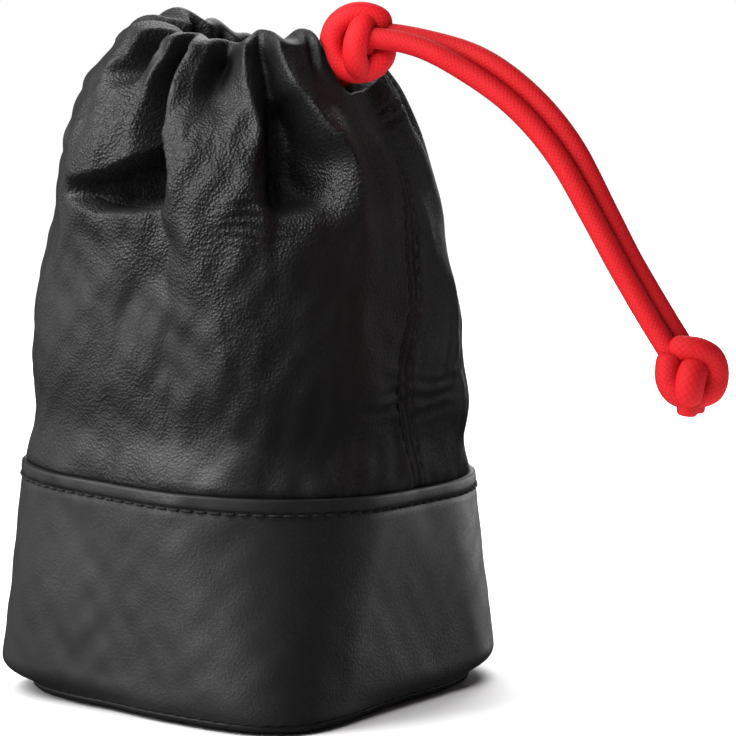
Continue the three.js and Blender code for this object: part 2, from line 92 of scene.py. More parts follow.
def smoothstep(x: Array, low: float | Array, high: float | Array) -> Array:
    """Ramp from 0 at low to 1 at high: 3t² - 2t³ of the share t between them."""
    t = np.clip((x - low) / (high - low), 0, 1)
    return t * t * (3 - 2 * t)


def lerp(a: Array | float, b: Array | float, t: Array | float) -> Array:
    """Straight blend from a to b at share t."""
    return a + (b - a) * t


def turn(azimuth: Array, other: Array | float) -> Array:
    """Signed turn from one azimuth to another, within half a circle."""
    return (azimuth - other + 180) % 360 - 180


def groove(offset: Array, half: float) -> Array:
    """Soft groove of 1 in the middle: exp(-(offset / half)²)."""
    return np.exp(-((offset / half) ** 2))


def humps(rows: Rows, azimuth: Array) -> Array:
    """Sum of humps that are listed as azimuth, half width and rise."""
    return sum(rise * bump(turn(azimuth, at), half) for at, half, rise in rows)


def cubic(t: Array, start: Array, end: Array, leave: Array, arrive: Array) -> Array:
    """Cubic from start to end at share t, with the slopes leave and arrive at its ends."""
    return lerp(start, end, 3 * t**2 - 2 * t**3) + leave * (t**3 - 2 * t**2 + t) + arrive * (t**3 - t**2)


def through(at: Sequence[float], values: Sequence[float], x: Array) -> Array:
    """Smooth curve through listed rows.

    A cubic runs from row to row, and its slope at a row is the slope between the row's neighbours.

    Args:
        at: places of the rows, rising.
        values: values at the rows.
        x: places to read the curve at, held to the first and last row outside them.

    Returns:
        The curve at x.
    """
    at, values = np.asarray(at, float), np.asarray(values, float)
    slopes = np.gradient(values, at)
    k = np.clip(np.searchsorted(at, x, side="right") - 1, 0, len(at) - 2)
    span = at[k + 1] - at[k]
    t = np.clip((x - at[k]) / span, 0, 1)
    return cubic(t, values[k], values[k + 1], span * slopes[k], span * slopes[k + 1])


@dataclass(frozen=True)
class Ripples:
    """Seeded even noise round the pouch: rise, seed, fewest and most waves round, and shortest wave up."""

    rise: float
    seed: int
    turns: tuple[int, int]
    length: float
    count: int = 20

    def at(self, azimuth: Array, height: Array) -> Array:
        """Noise at points.

        A sum of waves cos(m·azimuth + k·height + phase), with m a whole number of turns so that the noise
        closes on itself, k up to one wave per length, and the sum scaled to a root mean square of rise.

        Args:
            azimuth: azimuths in degrees.
            height: heights in millimetres.

        Returns:
            Noise of the arrays' shape.
        """
        draw = np.random.default_rng(self.seed)
        m = draw.integers(self.turns[0], self.turns[1] + 1, self.count) * draw.choice((-1, 1), self.count)
        k = draw.uniform(-1, 1, self.count) * 2 * np.pi / self.length
        phase = draw.uniform(0, 2 * np.pi, self.count)
        angle = np.radians(azimuth)[..., None] * m + height[..., None] * k + phase
        return self.rise * np.cos(angle).sum(-1) * np.sqrt(2 / self.count)


@dataclass(frozen=True)
class Patch:
    """A hump on the sleeve: rise, azimuth and half width, and level and reach in shares of the height."""

    rise: float
    azimuth: float
    half: float
    level: float
    reach: float

    def at(self, azimuth: Array, share: Array) -> Array:
        """Rise at points: a hump round the pouch times a hump up it."""
        return self.rise * bump(turn(azimuth, self.azimuth), self.half) * bump(share - self.level, self.reach)


def square_radius(azimuth: Array, half: Array | float, corner: Array | float) -> Array:
    """Distance from the axis to a square with rounded corners.

    On a flat side it is half / max(cos, sin); on a corner it is where the ray meets the corner's arc.

    Args:
        azimuth: azimuths in degrees.
        half: half the square's width.
        corner: radius of its corners.

    Returns:
        Radii of the arrays' shape.
    """
    c, s = np.abs(np.cos(np.radians(azimuth))), np.abs(np.sin(np.radians(azimuth)))
    flat = half - corner
    side = half / np.maximum(c, s)
    arc = flat * (c + s) + np.sqrt(np.maximum(corner**2 - (flat * (c - s)) ** 2, 0))
    return np.where(side * np.minimum(c, s) <= flat, side, arc)


def polar(azimuth: Array, radius: Array, height: Array) -> Array:
    """Points at a radius and a height on azimuths, stacked on the last axis."""
    turned = np.radians(azimuth)
    return np.stack(np.broadcast_arrays(radius * np.cos(turned), radius * np.sin(turned), height), -1)


def unit(vectors: Array) -> Array:
    """Vectors of length 1 on the last axis."""
    return vectors / np.linalg.norm(vectors, axis=-1, keepdims=True)


def even_azimuths(count: int) -> Array:
    """Even azimuths of a ring, in degrees."""
    return np.linspace(0, 360, count, endpoint=False)


def run_along(line: Array) -> Array:
    """Length along a line of points up to each of them."""
    return np.concatenate([[0], np.cumsum(np.linalg.norm(np.diff(line, axis=0), axis=1))])


def points_at(line: Array, run: Array, at: Array) -> Array:
    """Points on a line of points, at lengths along it."""
    return np.stack([np.interp(at, run, line[:, k]) for k in range(3)], -1)


def curve(rows: Rows, x: Array) -> Array:
    """Smooth curve through rows of place and value."""
    at, values = np.array(rows).T
    return through(at, values, x)


def lighten(colour: Colour, times: float) -> Colour:
    """A colour some times as bright."""
    return (colour[0] * times, colour[1] * times, colour[2] * times, 1.0)


@dataclass
class Surface:
    """Points in millimetres with the faces between them, and a UV map where a pattern needs one."""

    points: Array
    quads: Array
    caps: list[list[int]] = field(default_factory=list)
    uv: Array | None = None

    @classmethod
    def grid(cls, points: Array, wrap: tuple[bool, bool], along: Array | None = None) -> "Surface":
        """Quads between the neighbours of a grid of points.

        Args:
            points: grid of rows, columns and coordinates.
            wrap: whether the rows, and the columns, close on themselves.
            along: place of each row in metres, for a UV map with the share round the row first.

        Returns:
            The surface, whose outside is the side from which the columns run to the right as the rows rise.
        """
        rows, cols = points.shape[:2]
        i, j = np.meshgrid(np.arange(rows - (not wrap[0])), np.arange(cols - (not wrap[1])), indexing="ij")
        up, right = (i + 1) % rows, (j + 1) % cols
        corners = [i * cols + j, i * cols + right, up * cols + right, up * cols + j]
        uv = None
        if along is not None:
            low, high = along[i], along[i + 1]
            left, next_ = j / cols, (j + 1) / cols
            pairs = [(left, low), (next_, low), (next_, high), (left, high)]
            uv = np.stack([np.stack(pair, -1) for pair in pairs], -2).reshape(-1, 4, 2)
        quads = np.stack(corners, -1).reshape(-1, 4)
        return cls(points.reshape(-1, 3), quads, [], uv)

    def cap_ends(self, cols: int) -> "Surface":
        """Close the first and the last row of an open tube with a face each.

        Args:
            cols: points in a row.

        Returns:
            The same surface.
        """
        last = len(self.points) - cols
        self.caps = [list(range(cols - 1, -1, -1)), list(range(last, last + cols))]
        return self


def make_object(name: str, parts: Sequence[Surface], finish: bpy.types.Material) -> bpy.types.Object:
    """One smooth object from one or more surfaces.

    Args:
        name: name of the piece.
        parts: its surfaces, all of them with a UV map or all without.
        finish: its material.

    Returns:
        The object, at the origin, with its place in its mesh.
    """
    starts = np.cumsum([0] + [len(part.points) for part in parts])
    faces: list[list[int]] = []
    uv: list[Array] = []
    for part, start in zip(parts, starts):
        faces += (part.quads + start).tolist() + [[v + int(start) for v in cap] for cap in part.caps]
        if part.uv is not None:
            uv += [part.uv.reshape(-1, 2)] + [np.zeros((len(cap), 2)) for cap in part.caps]
    mesh = bpy.data.meshes.new(name)
    mesh.from_pydata(np.concatenate([part.points for part in parts]) * MM, [], faces)
    if uv:
        mesh.uv_layers.new(name="UVMap").uv.foreach_set("vector", np.concatenate(uv).ravel())
    mesh.shade_smooth()
    mesh.materials.append(finish)
    made = bpy.data.objects.new(name, mesh)
    bpy.context.scene.collection.objects.link(made)
    return made


def dress(
    name: str,
    parts: Sequence[Surface],
    finish: bpy.types.Material,
    body: Body,
    slot: str,
    *nodes: str,
    bend: Array | None = None,
) -> bpy.types.Object:
    """Make a piece that rides on a body unless bend points are given, hide the nodes that it stands for, and
    report it.

    Args:
        name: name of the piece.
        parts: its surfaces.
        finish: its material.
        body: the body that it moves with.
        slot: not used.
        nodes: the CAD nodes that it stands for.
        bend: two points, or None; when given, the piece isn't hung on the body and the points aren't used.

    Returns:
        The piece.
    """
    piece = make_object(name, parts, finish)
    if bend is None:
        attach(piece, body.value)
    else:
        (bend * MM).tolist()
        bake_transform(piece)
    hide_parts(*nodes)
    LOG.info("%s on %s for %s: %d faces", name, body.value, ", ".join(nodes), len(piece.data.polygons))
    return piece


class Wire:
    """An output socket in a node tree, on which Python's operators add Math nodes."""

    def __init__(self, sheet: "NodeSheet", socket: bpy.types.NodeSocket) -> None:
        """Keep the socket and the tree that it belongs to."""
        self.sheet = sheet
        self.socket = socket

    def math(self, operation: str, *values: "Wire | float") -> "Wire":
        """A Math node on values."""
        return self.sheet.node("ShaderNodeMath", {"operation": operation}, dict(enumerate(values)))

    def __add__(self, other: "Wire | float") -> "Wire":
        """Sum."""
        return self.math("ADD", self, other)

    __radd__ = __add__

    def __sub__(self, other: "Wire | float") -> "Wire":
        """Difference."""
        return self.math("SUBTRACT", self, other)

    def __rsub__(self, other: float) -> "Wire":
        """Difference from a number."""
        return self.math("SUBTRACT", other, self)

    def __mul__(self, other: "Wire | float") -> "Wire":
        """Product."""
        return self.math("MULTIPLY", self, other)

    __rmul__ = __mul__

    def __pow__(self, other: "Wire | float") -> "Wire":
        """Power."""
        return self.math("POWER", self, other)

    def __abs__(self) -> "Wire":
        """Size without sign."""
        return self.math("ABSOLUTE", self)

    def sine(self) -> "Wire":
        """Sine of a value in radians."""
        return self.math("SINE", self)

    def between(self, low: float, high: float) -> "Wire":
        """Smooth ramp from 0 at low to 1 at high."""
        inputs = {"Value": self, "From Min": low, "From Max": high}
        return self.sheet.node("ShaderNodeMapRange", {"interpolation_type": "SMOOTHSTEP"}, inputs)


class NodeSheet:
    """The node tree of a material or a world, with one method that adds any node."""

    def __init__(self, name: str, kind: str = "materials") -> None:
        """Start the empty tree of a new material or world.

        Args:
            name: its name.
            kind: materials or worlds.
        """
        self.owner = getattr(bpy.data, kind).new(name)
        self.owner.use_nodes = True
        self.tree = self.owner.node_tree
        self.tree.nodes.clear()

    def node(
        self,
        kind: str,
        settings: Mapping[str, Any] | None = None,
        inputs: Mapping[str | int, Any] | None = None,
        output: str | int = 0,
    ) -> Wire:
        """Add a node.

        Args:
            kind: its type.
            settings: its properties, set first.
            inputs: values or wires of its sockets.
            output: the socket to hand on.

        Returns:
            The wire from that socket.
        """
        made = self.tree.nodes.new(kind)
        for key, value in (settings or {}).items():
            setattr(made, key, value)
        for key, value in (inputs or {}).items():
            if isinstance(value, Wire):
                self.tree.links.new(value.socket, made.inputs[key])
            else:
                made.inputs[key].default_value = value
        return Wire(self, made.outputs[output] if made.outputs else None)

    def place(self, output: str = "Object") -> Wire:
        """Coordinates on the piece."""
        return self.node("ShaderNodeTexCoord", output=output)

    def axis(self, vector: Wire, name: str) -> Wire:
        """One coordinate of a vector."""
        return self.node("ShaderNodeSeparateXYZ", {}, {0: vector}, name)

    def noise(self, vector: Wire, scale: float, detail: float = 2.0, output: str = "Fac") -> Wire:
        """Noise with a number of waves per metre."""
        inputs = {"Vector": vector, "Scale": scale, "Detail": detail}
        return self.node("ShaderNodeTexNoise", {}, inputs, output)

    def cells(self, vector: Wire, scale: float, feature: str = "F1") -> Wire:
        """Distance in a field of cells with a number of cells per metre."""
        inputs = {"Vector": vector, "Scale": scale}
        return self.node("ShaderNodeTexVoronoi", {"feature": feature}, inputs, "Distance")

    def warped(self, vector: Wire, scale: float, reach: float) -> Wire:
        """Coordinates pushed about by noise, up to a reach.

        Args:
            vector: the coordinates.
            scale: waves of the noise per metre.
            reach: metres.

        Returns:
            The moved coordinates.
        """
        push = self.noise(vector, scale, 1.0, "Color")
        inputs = {0: push, 1: (reach, reach, reach), 2: vector}
        return self.node("ShaderNodeVectorMath", {"operation": "MULTIPLY_ADD"}, inputs)

    def blend(self, share: Wire, first: Colour | Wire, second: Colour | Wire) -> Wire:
        """Colour that goes from the first to the second."""
        return self.node("ShaderNodeMix", {"data_type": "RGBA"}, {0: share, 6: first, 7: second}, 2)

    def raised(self, height: Wire, depth: float) -> Wire:
        """Normal of a relief with a depth in metres."""
        return self.node("ShaderNodeBump", {}, {"Height": height, "Distance": depth, "Strength": 1.0})

    def shade(self, **sockets: Any) -> bpy.types.Material:
        """Finish the material with a Principled shader, whose sockets have these names with _ for a space.

        Args:
            sockets: values or wires.

        Returns:
            The material.
        """
        named = {key.replace("_", " "): value for key, value in sockets.items()}
        shader = self.node("ShaderNodeBsdfPrincipled", {}, named)
        self.node("ShaderNodeOutputMaterial", {}, {"Surface": shader})
        return self.owner


@dataclass(frozen=True)
class Leather:
    """Black leather with a pebbled grain: domed cells of uneven size parted by fine creases."""

    name: str
    colour: Colour
    # Colour of the pebble tops away from the creases, in patches.
    pebble_top_colour: Colour
    pebbles: float
    depth: float
    roughness: float

    def material(self) -> bpy.types.Material:
        """Material on Object coordinates, with pebbles, creases, pores, slow changes of gloss, and a lighter
        colour on pebble tops away from the creases, in random patches.

        Returns:
            The material.
        """
        sheet = NodeSheet(self.name)
        spot = sheet.place()
        bent = sheet.warped(spot, self.pebbles * 0.3, 0.45 / self.pebbles)
        dome = 1 - sheet.cells(bent, self.pebbles).between(0.1, 0.75)
        crease = sheet.cells(bent, self.pebbles * 0.43, "DISTANCE_TO_EDGE").between(0.0, 0.16)
        pore = sheet.noise(spot, self.pebbles * 4.5)
        calm = sheet.noise(spot, 34.0, 2.0).between(0.36, 0.6)
        upper = sheet.axis(spot, "Z").between(0.06, 0.1)
        height = (dome * 0.8 + crease * 0.1) * (0.35 + 0.65 * calm) * (0.52 + 0.48 * upper) + pore * 0.15
        patch = sheet.noise(spot, 45.0, 3.0).between(0.3, 0.7)
        gloss = self.roughness + 0.1 * patch + 0.12 * (1 - dome) + 0.08 * (pore - 0.5)
        # Lighter colour on the pebble tops away from the creases, in random patches.
        top = dome * crease * patch
        return sheet.shade(
            Base_Color=sheet.blend(top, self.colour, self.pebble_top_colour),
            Roughness=gloss,
            Normal=sheet.raised(height, self.depth * MM),
        )


@dataclass(frozen=True)
class BraidedCord:
    """Braided cord: two sets of strands wind in opposite ways and show as rows of small pillows."""

    name: str
    colour: Colour
    # Painted shade: colour of the grooves between the braid's pillows.
    groove_shade_colour: Colour
    strands: float
    lead: float
    depth: float

    def material(self) -> bpy.types.Material:
        """Material on the piece's UV map, the share round the cord and the metres along it, with painted
        shade that darkens the grooves between the pillows.

        Returns:
            The material.
        """
        sheet = NodeSheet(self.name)
        uv = sheet.place("UV")
        around = sheet.axis(uv, "X") * (np.pi * self.strands)
        along = sheet.axis(uv, "Y") * (np.pi * self.strands / self.lead)
        pillow = abs((around + along).sine() * (around - along).sine()) ** PILLOW_POWER
        fibre = sheet.noise(sheet.place(), 5200.0, 3.0)
        patch = sheet.noise(sheet.place(), 160.0)
        # Painted shade: the colour follows the pillows and is darker in the grooves between them, with random
        # fibre tone.
        groove_shade_and_noise = (pillow * 0.75 + fibre * 0.35).between(0.1, 0.95)
        return sheet.shade(
            Base_Color=sheet.blend(groove_shade_and_noise, self.groove_shade_colour, self.colour),
            Roughness=0.58 + 0.2 * fibre + 0.1 * patch,
            Normal=sheet.raised(pillow * 0.8 + fibre * 0.35, self.depth * MM),
            Specular_IOR_Level=0.25,
        )


@dataclass(frozen=True)
class Thread:
    """Waxed sewing thread with a slanted twist."""

    name: str
    colour: Colour

    def material(self) -> bpy.types.Material:
        """Material on the UV map: a wave that runs slantwise round the thread, as relief and as painted shade
        that darkens its grooves.

        Returns:
            The material.
        """
        sheet = NodeSheet(self.name)
        uv = sheet.place("UV")
        around = sheet.axis(uv, "X") * (2 * np.pi)
        along = sheet.axis(uv, "Y") * 14000.0
        twist = (around + along).sine() * 0.5 + 0.5
        fibre = sheet.noise(sheet.place(), 9000.0)
        # Painted shade: the colour is darker in the twist's grooves and lighter on its crests, varied by
        # random fibre tone.
        return sheet.shade(
            Base_Color=sheet.blend(twist * fibre, self.colour, lighten(self.colour, 2.2)),
            Roughness=0.45 + 0.25 * fibre,
            Normal=sheet.raised(twist + 0.3 * fibre, 0.00008),
        )


@dataclass(frozen=True)
class WovenCloth:
    """Plain woven lining: crossing threads a fraction of a millimetre apart."""

    name: str
    colour: Colour
    threads: float

    def material(self) -> bpy.types.Material:
        """Material on Object coordinates: waves along three axes make the crossing threads, in relief and as
        painted shade between them.

        Returns:
            The material.
        """
        sheet = NodeSheet(self.name)
        spot = sheet.place()
        waves = [abs((sheet.axis(spot, name) * (np.pi * self.threads)).sine()) for name in "XYZ"]
        weave = waves[0] * waves[1] + waves[1] * waves[2] + waves[2] * waves[0]
        fluff = sheet.noise(spot, 2600.0, 3.0)
        # Painted shade: the colour is darker between the threads and lighter on their crests, with random
        # fluff tone.
        groove_shade_and_noise = (weave * 0.5 + fluff * 0.4).between(0.1, 1.1)
        return sheet.shade(
            Base_Color=sheet.blend(groove_shade_and_noise, self.colour, lighten(self.colour, 1.9)),
            Roughness=0.8 + 0.15 * fluff,
            Normal=sheet.raised(weave * 0.6 + fluff * 0.4, 0.0001),
            Sheen_Weight=0.2,
        )


@dataclass(frozen=True)
class Filling:
    """Foam or pressed fibre: open cells and flecks of two tones."""

    name: str
    colour: Colour
    fleck: Colour
    cells: float

    def material(self) -> bpy.types.Material:
        """Material on Object coordinates: cells for the relief and noise for the flecks.

        Returns:
            The material.
        """
        sheet = NodeSheet(self.name)
        spot = sheet.place()
        cell = sheet.cells(spot, self.cells).between(0.1, 0.7)
        fleck = sheet.noise(spot, self.cells * 0.4, 3.0).between(0.42, 0.66)
        return sheet.shade(
            Base_Color=sheet.blend(fleck, self.colour, self.fleck),
            Roughness=0.82 + 0.14 * cell,
            Normal=sheet.raised(cell, 0.0002),
        )


RED_BRAID = BraidedCord(
    "red_braid",
    colour=(0.56, 0.005, 0.01, 1.0),
    groove_shade_colour=(0.46, 0.003, 0.006, 1.0),
    strands=12,
    lead=0.011,
    depth=0.06,
)
PEBBLED_LEATHER = Leather(
    "pebbled_leather",
    colour=(0.006, 0.006, 0.0065, 1.0),
    pebble_top_colour=(0.016, 0.016, 0.017, 1.0),
    pebbles=1750.0,
    depth=0.165,
    roughness=0.39,
)
SMOOTH_LEATHER = Leather(
    "smooth_leather",
    colour=(0.011, 0.011, 0.0116, 1.0),
    pebble_top_colour=(0.017, 0.017, 0.018, 1.0),
    pebbles=1900.0,
    depth=0.055,
    roughness=0.42,
)
BLACK_THREAD = Thread("black_thread", (0.008, 0.008, 0.009, 1.0))
LINING_WEAVE = WovenCloth("lining_weave", (0.012, 0.012, 0.013, 1.0), threads=1600.0)
FOAM = Filling("foam_cells", (0.035, 0.035, 0.037, 1.0), fleck=(0.06, 0.06, 0.062, 1.0), cells=1400.0)
FIBRE_BOARD = Filling("pressed_fibre", (0.24, 0.18, 0.11, 1.0), fleck=(0.33, 0.26, 0.17, 1.0), cells=900.0)


@dataclass(frozen=True)
class FoldLine:
    """A ridge or valley of the gathered sleeve: rows of share of height, azimuth and height over the wall."""

    rows: Rows
    crease: float = 0.0


@dataclass(frozen=True)
class Hollow:
    """A sunken patch: rows of azimuth from its middle, lower and upper edge, and share of depth."""

    middle: float
    depth: float
    rows: Rows
    lean: float = 1.4
    low_edge: Pair = (0.012, 0.01)
    high_edge: Pair = (0.024, 0.008)

    def relief(self, azimuth: Array, share: Array) -> Array:
        """Radial drop: the depth between the patch's edges, more towards the lower one, and none outside.

        Args:
            azimuth: azimuths in degrees.
            share: shares of the sleeve's height.

        Returns:
            Rise in millimetres, below zero.
        """
        at, low, high, part = np.array(self.rows).T
        around = turn(azimuth, self.middle)
        floor, roof = np.interp(around, at, low), np.interp(around, at, high)
        over = smoothstep(share, floor - self.low_edge[0], floor + self.low_edge[1])
        under = 1 - smoothstep(share, roof - self.high_edge[0], roof + self.high_edge[1])
        lean = lerp(1.0, self.lean, np.clip((roof - share) / (roof - floor), 0, 1))
        return -self.depth * lean * through(at, part, around) * over * under


@dataclass(frozen=True)
class FoldChart:
    """All ridges and valleys in order round the pouch, with the sunken patches between them."""

    lines: tuple[FoldLine, ...]
    hollows: tuple[Hollow, ...]

    def relief(self, azimuth: Array, share: Array) -> Array:
        """Radial rise of the folds.

        Between two neighbouring lines the rise goes from the one's height to the other's on a cubic of
        the share of the way. Its slope is level at a rounded line, and steep at one with a crease.

        Args:
            azimuth: azimuths in degrees.
            share: shares of the sleeve's height.

        Returns:
            Rise in millimetres.
        """
        tables = [np.array(line.rows).T for line in self.lines]
        places = [through(at, middle, share) for at, middle, _ in tables]
        heights = [through(at, rise, share) for at, _, rise in tables]
        total = np.zeros(np.broadcast(azimuth, share).shape)
        for k, line in enumerate(self.lines):
            after = (k + 1) % len(self.lines)
            t = ((azimuth - places[k]) % 360) / ((places[after] - places[k]) % 360)
            drop = heights[after] - heights[k]
            rise = cubic(t, heights[k], heights[after], drop * line.crease, drop * self.lines[after].crease)
            total = np.where(t < 1, rise, total)
        return total + sum(hollow.relief(azimuth, share) for hollow in self.hollows)


@dataclass
class PouchForm:
    """Outline of the pouch that its leather, lining and padding follow."""

    folds: FoldChart
    fold_wander: Ripples = Ripples(0.7, 31, (5, 22), 11.0)
    base_half: float = 41.2
    base_corner: float = 19.4
    seam_half: float = 41.8
    seam_corner: float = 33.7
    band_height: float = 44.5
    band_tilt: float = 2.1
    rim_height: float = 129.5
    rim_tilt: float = 4.5
    rim_low: float = -15.0
    rim_waves: Rows = ((185, 35, 1), (112, 52, -4), (-146, 32, -2.4), (-110, 16, 1.9), (-78, 26, 1.4),
                       (-52, 13, 2), (-32, 28, 4), (-18, 10, 1.4))
    edge_rounds: Rows = ((45, 30, 4.2), (135, 30, 3), (-135, 34, 4.6), (-100, 26, 0.6), (-72, 32, -0.9),
                         (-33, 30, -1.4))
    panel: float = 2.2
    gap: float = 0.3
    board: float = 1.5
    pad: float = 5.0
    band_leather: float = 1.8
    sleeve_leather: float = 1.6
    hem_leather: float = 1.4
    foam: float = 3.0
    lining: float = 0.8
    tape: float = 0.8
    tuck: float = 7.0
    edge_inset: float = 1.4
    edge_height: float = 5.0
    front_edge: float = 1.5
    front_azimuth: float = -45.0
    front_half: float = 16.0
    front_fade: float = 0.8
    throat: float = 22.6
    mouth: float = 14.5
    mean_rise: float = 85.0
    smooth_middle: float = 28.0
    smooth_half: float = 62.0
    smooth_edge: float = 22.0
    smooth_calm: float = 0.7
    sleeve_rows: Rows = (
        (0, 1.05, 0.79), (0.012, 1.052, 0.79), (0.03, 1.042, 0.8), (0.1, 0.97, 0.79), (0.23, 0.995, 0.79),
        (0.36, 0.96, 0.8), (0.51, 0.855, 0.835), (0.65, 0.72, 0.88), (0.77, 0.49, 0.94), (0.87, 0.21, 1),
        (0.94, 0.04, 1), (1, -0.03, 1),
    )
    seam_route: Rows = (
        (0, 2.5), (0.1, 1), (0.2, -2), (0.3, -1), (0.39, 3), (0.48, 6), (0.57, 7.5), (0.66, 9), (0.75, 12),
        (0.84, 14), (1, 15),
    )

    @property
    def band_bottom(self) -> float:
        """Height of the band's lower edge."""
        return self.panel + self.gap

    @property
    def pad_bottom(self) -> float:
        """Height of the pad's lower face."""
        return self.band_bottom + self.board + self.gap

    @property
    def floor_bottom(self) -> float:
        """Height of the lining under the pouch's inside."""
        return self.pad_bottom + self.pad + self.gap

    def band_top(self, azimuth: Array) -> Array:
        """Height of the band's top edge: its mean less the tilt times the cosine."""
        return self.band_height - self.band_tilt * np.cos(np.radians(azimuth))

    def rim(self, azimuth: Array) -> Array:
        """Height of the rim: its mean less the tilt, plus a hump for each wave."""
        height = self.rim_height - self.rim_tilt * np.cos(np.radians(azimuth - self.rim_low))
        return height + humps(self.rim_waves, azimuth)

    def smooth_side(self, azimuth: Array) -> Array:
        """Share of the smooth stretch by the side seam: 1 in it and 0 outside it."""
        return smoothstep(self.smooth_half - np.abs(turn(azimuth, self.smooth_middle)), 0, self.smooth_edge)

    def band_face(self, azimuth: Array, z: Array | float) -> Array:
        """Outer face of the band: a rounded square that changes from base to seam, rounded in below.

        A ridge that fades upwards makes the front corner sharper than the others.

        Args:
            azimuth: azimuths in degrees.
            z: heights in millimetres.

        Returns:
            Radii in millimetres.
        """
        share = (z - self.band_bottom) / (self.band_top(azimuth) - self.band_bottom)
        half = lerp(self.base_half, self.seam_half, share)
        corner = lerp(self.base_corner, self.seam_corner, share)
        inset = self.edge_inset + humps(self.edge_rounds, azimuth)
        low = np.clip((z - self.band_bottom) / self.edge_height, 0, 1)
        ridge = self.front_edge * bump(turn(azimuth, self.front_azimuth), self.front_half)
        ridge = ridge * (1 - self.front_fade * np.clip(share, 0, 1))
        return square_radius(azimuth, half, corner) + ridge - inset * (1 - low) ** 3

    def sleeve_face(self, azimuth: Array, share: Array) -> Array:
        """Outer face of the sleeve: a rounded square that draws in to the throat, with its folds.

        Args:
            azimuth: azimuths in degrees.
            share: shares of the height from the band's top to the rim.

        Returns:
            Radii in millimetres.
        """
        at, width, rounding = np.array(self.sleeve_rows).T
        seam = self.seam_half - self.band_leather - self.gap
        half = lerp(self.throat, seam, through(at, width, share))
        radius = square_radius(azimuth, half, half * through(at, rounding, share))
        calm = 1 - self.smooth_calm * self.smooth_side(azimuth)
        wander = calm * self.fold_wander.at(azimuth, self.mean_rise * share)
        return radius + self.folds.relief(azimuth + wander, share)

    def sleeve_height(self, azimuth: Array, share: Array) -> Array:
        """Height at a share between the band's top and the rim."""
        return lerp(self.band_top(azimuth), self.rim(azimuth), share)

    def seam(self, share: Array) -> Array:
        """Azimuth of the side seam at a share of the sleeve's height."""
        return curve(self.seam_route, share)


def closed_ring(azimuth: Array, section: Sequence[tuple[Array, Array]]) -> Surface:
    """Ring round the axis through a closed section.

    Args:
        azimuth: azimuths of the columns.
        section: radius and height at each azimuth, for each row, up the outside and down the inside.

    Returns:
        The closed surface.
    """
    rows = [polar(azimuth, radius, height) for radius, height in section]
    return Surface.grid(np.stack(rows), (True, True))


def slab(
    azimuth: Array,
    outline: Array,
    bottom: float,
    top: float,
    edge: float,
    crown: float = 0.0,
    under: float = 0.0,
) -> Surface:
    """Flat or crowned pad that fills an outline.

    The rows run out over the lower face, round the edge on two quarter ellipses, and in over the upper
    face, which rises by crown·(1 - r²) towards the middle.

    Args:
        azimuth: azimuths of the columns.
        outline: radius at each azimuth.
        bottom: height of the lower face.
        top: height of the upper face at the edge.
        edge: how far the rounded edge reaches in.
        crown: rise in the middle.
        under: how far the lower part of the edge reaches in, where that is further.

    Returns:
        The closed surface.
    """
    share = np.array([0.02, 0.2, 0.4, 0.6, 0.8, 0.92])
    quarter = np.radians(np.linspace(0, 90, 6))
    low = max(under, edge)
    waist = lerp(bottom, top, 0.75 if under else 0.5)
    rows = [((outline - low) * s, np.full_like(outline, bottom)) for s in share]
    for a in quarter[::-1]:
        rows.append((outline - low * (1 - np.cos(a)), np.full_like(outline, lerp(waist, bottom, np.sin(a)))))
    for a in quarter[1:]:
        rows.append((outline - edge * (1 - np.cos(a)), np.full_like(outline, lerp(waist, top, np.sin(a)))))
    rows += [((outline - edge) * s, np.full_like(outline, top + crown * (1 - s * s))) for s in share[::-1]]
    made = Surface.grid(np.stack([polar(azimuth, r, z) for r, z in rows]), (False, True))
    return made.cap_ends(len(azimuth))


@dataclass
class StitchRow:
    """A row of separate stitches, each a short thread that rises from one hole and sinks in the next."""

    length: float = 2.3
    radius: float = 0.29
    rise: float = 0.3
    sunk: float = 0.35
    taper: float = 0.75
    sides: int = 8
    rings: int = 7

    def surface(self, middle: Array, along: Array, out: Array) -> Surface:
        """All the stitches of a row at once.

        A ring of the thread at share t from -1 to 1 lies t half lengths along, rises by
        rise·(1 - t² - sunk), and has the radius times √(1 - taper·t⁴).

        Args:
            middle: middles of the stitches on the face.
            along: directions of the row there.
            out: directions out of the face there.

        Returns:
            The closed surfaces as one.
        """
        t = np.linspace(-1, 1, self.rings)
        phi = np.radians(even_azimuths(self.sides))
        across = np.cross(along, out)
        ahead, lift = t * self.length / 2, self.rise * (1 - t**2 - self.sunk)
        centre = middle[:, None] + along[:, None] * ahead[:, None] + out[:, None] * lift[:, None]
        girth = self.radius * np.sqrt(1 - self.taper * t**4)
        ring = out[:, None, None] * np.cos(phi)[:, None] - across[:, None, None] * np.sin(phi)[:, None]
        points = centre[:, :, None] + ring * girth[:, None, None]
        one = Surface.grid(points[0], (False, True), ahead * MM).cap_ends(self.sides)
        count = len(middle)
        step = np.arange(count) * self.rings * self.sides
        quads = (one.quads[None] + step[:, None, None]).reshape(-1, 4)
        caps = (np.array(one.caps)[None] + step[:, None, None]).reshape(-1, self.sides).tolist()
        return Surface(points.reshape(-1, 3), quads, caps, np.tile(one.uv, (count, 1, 1)))


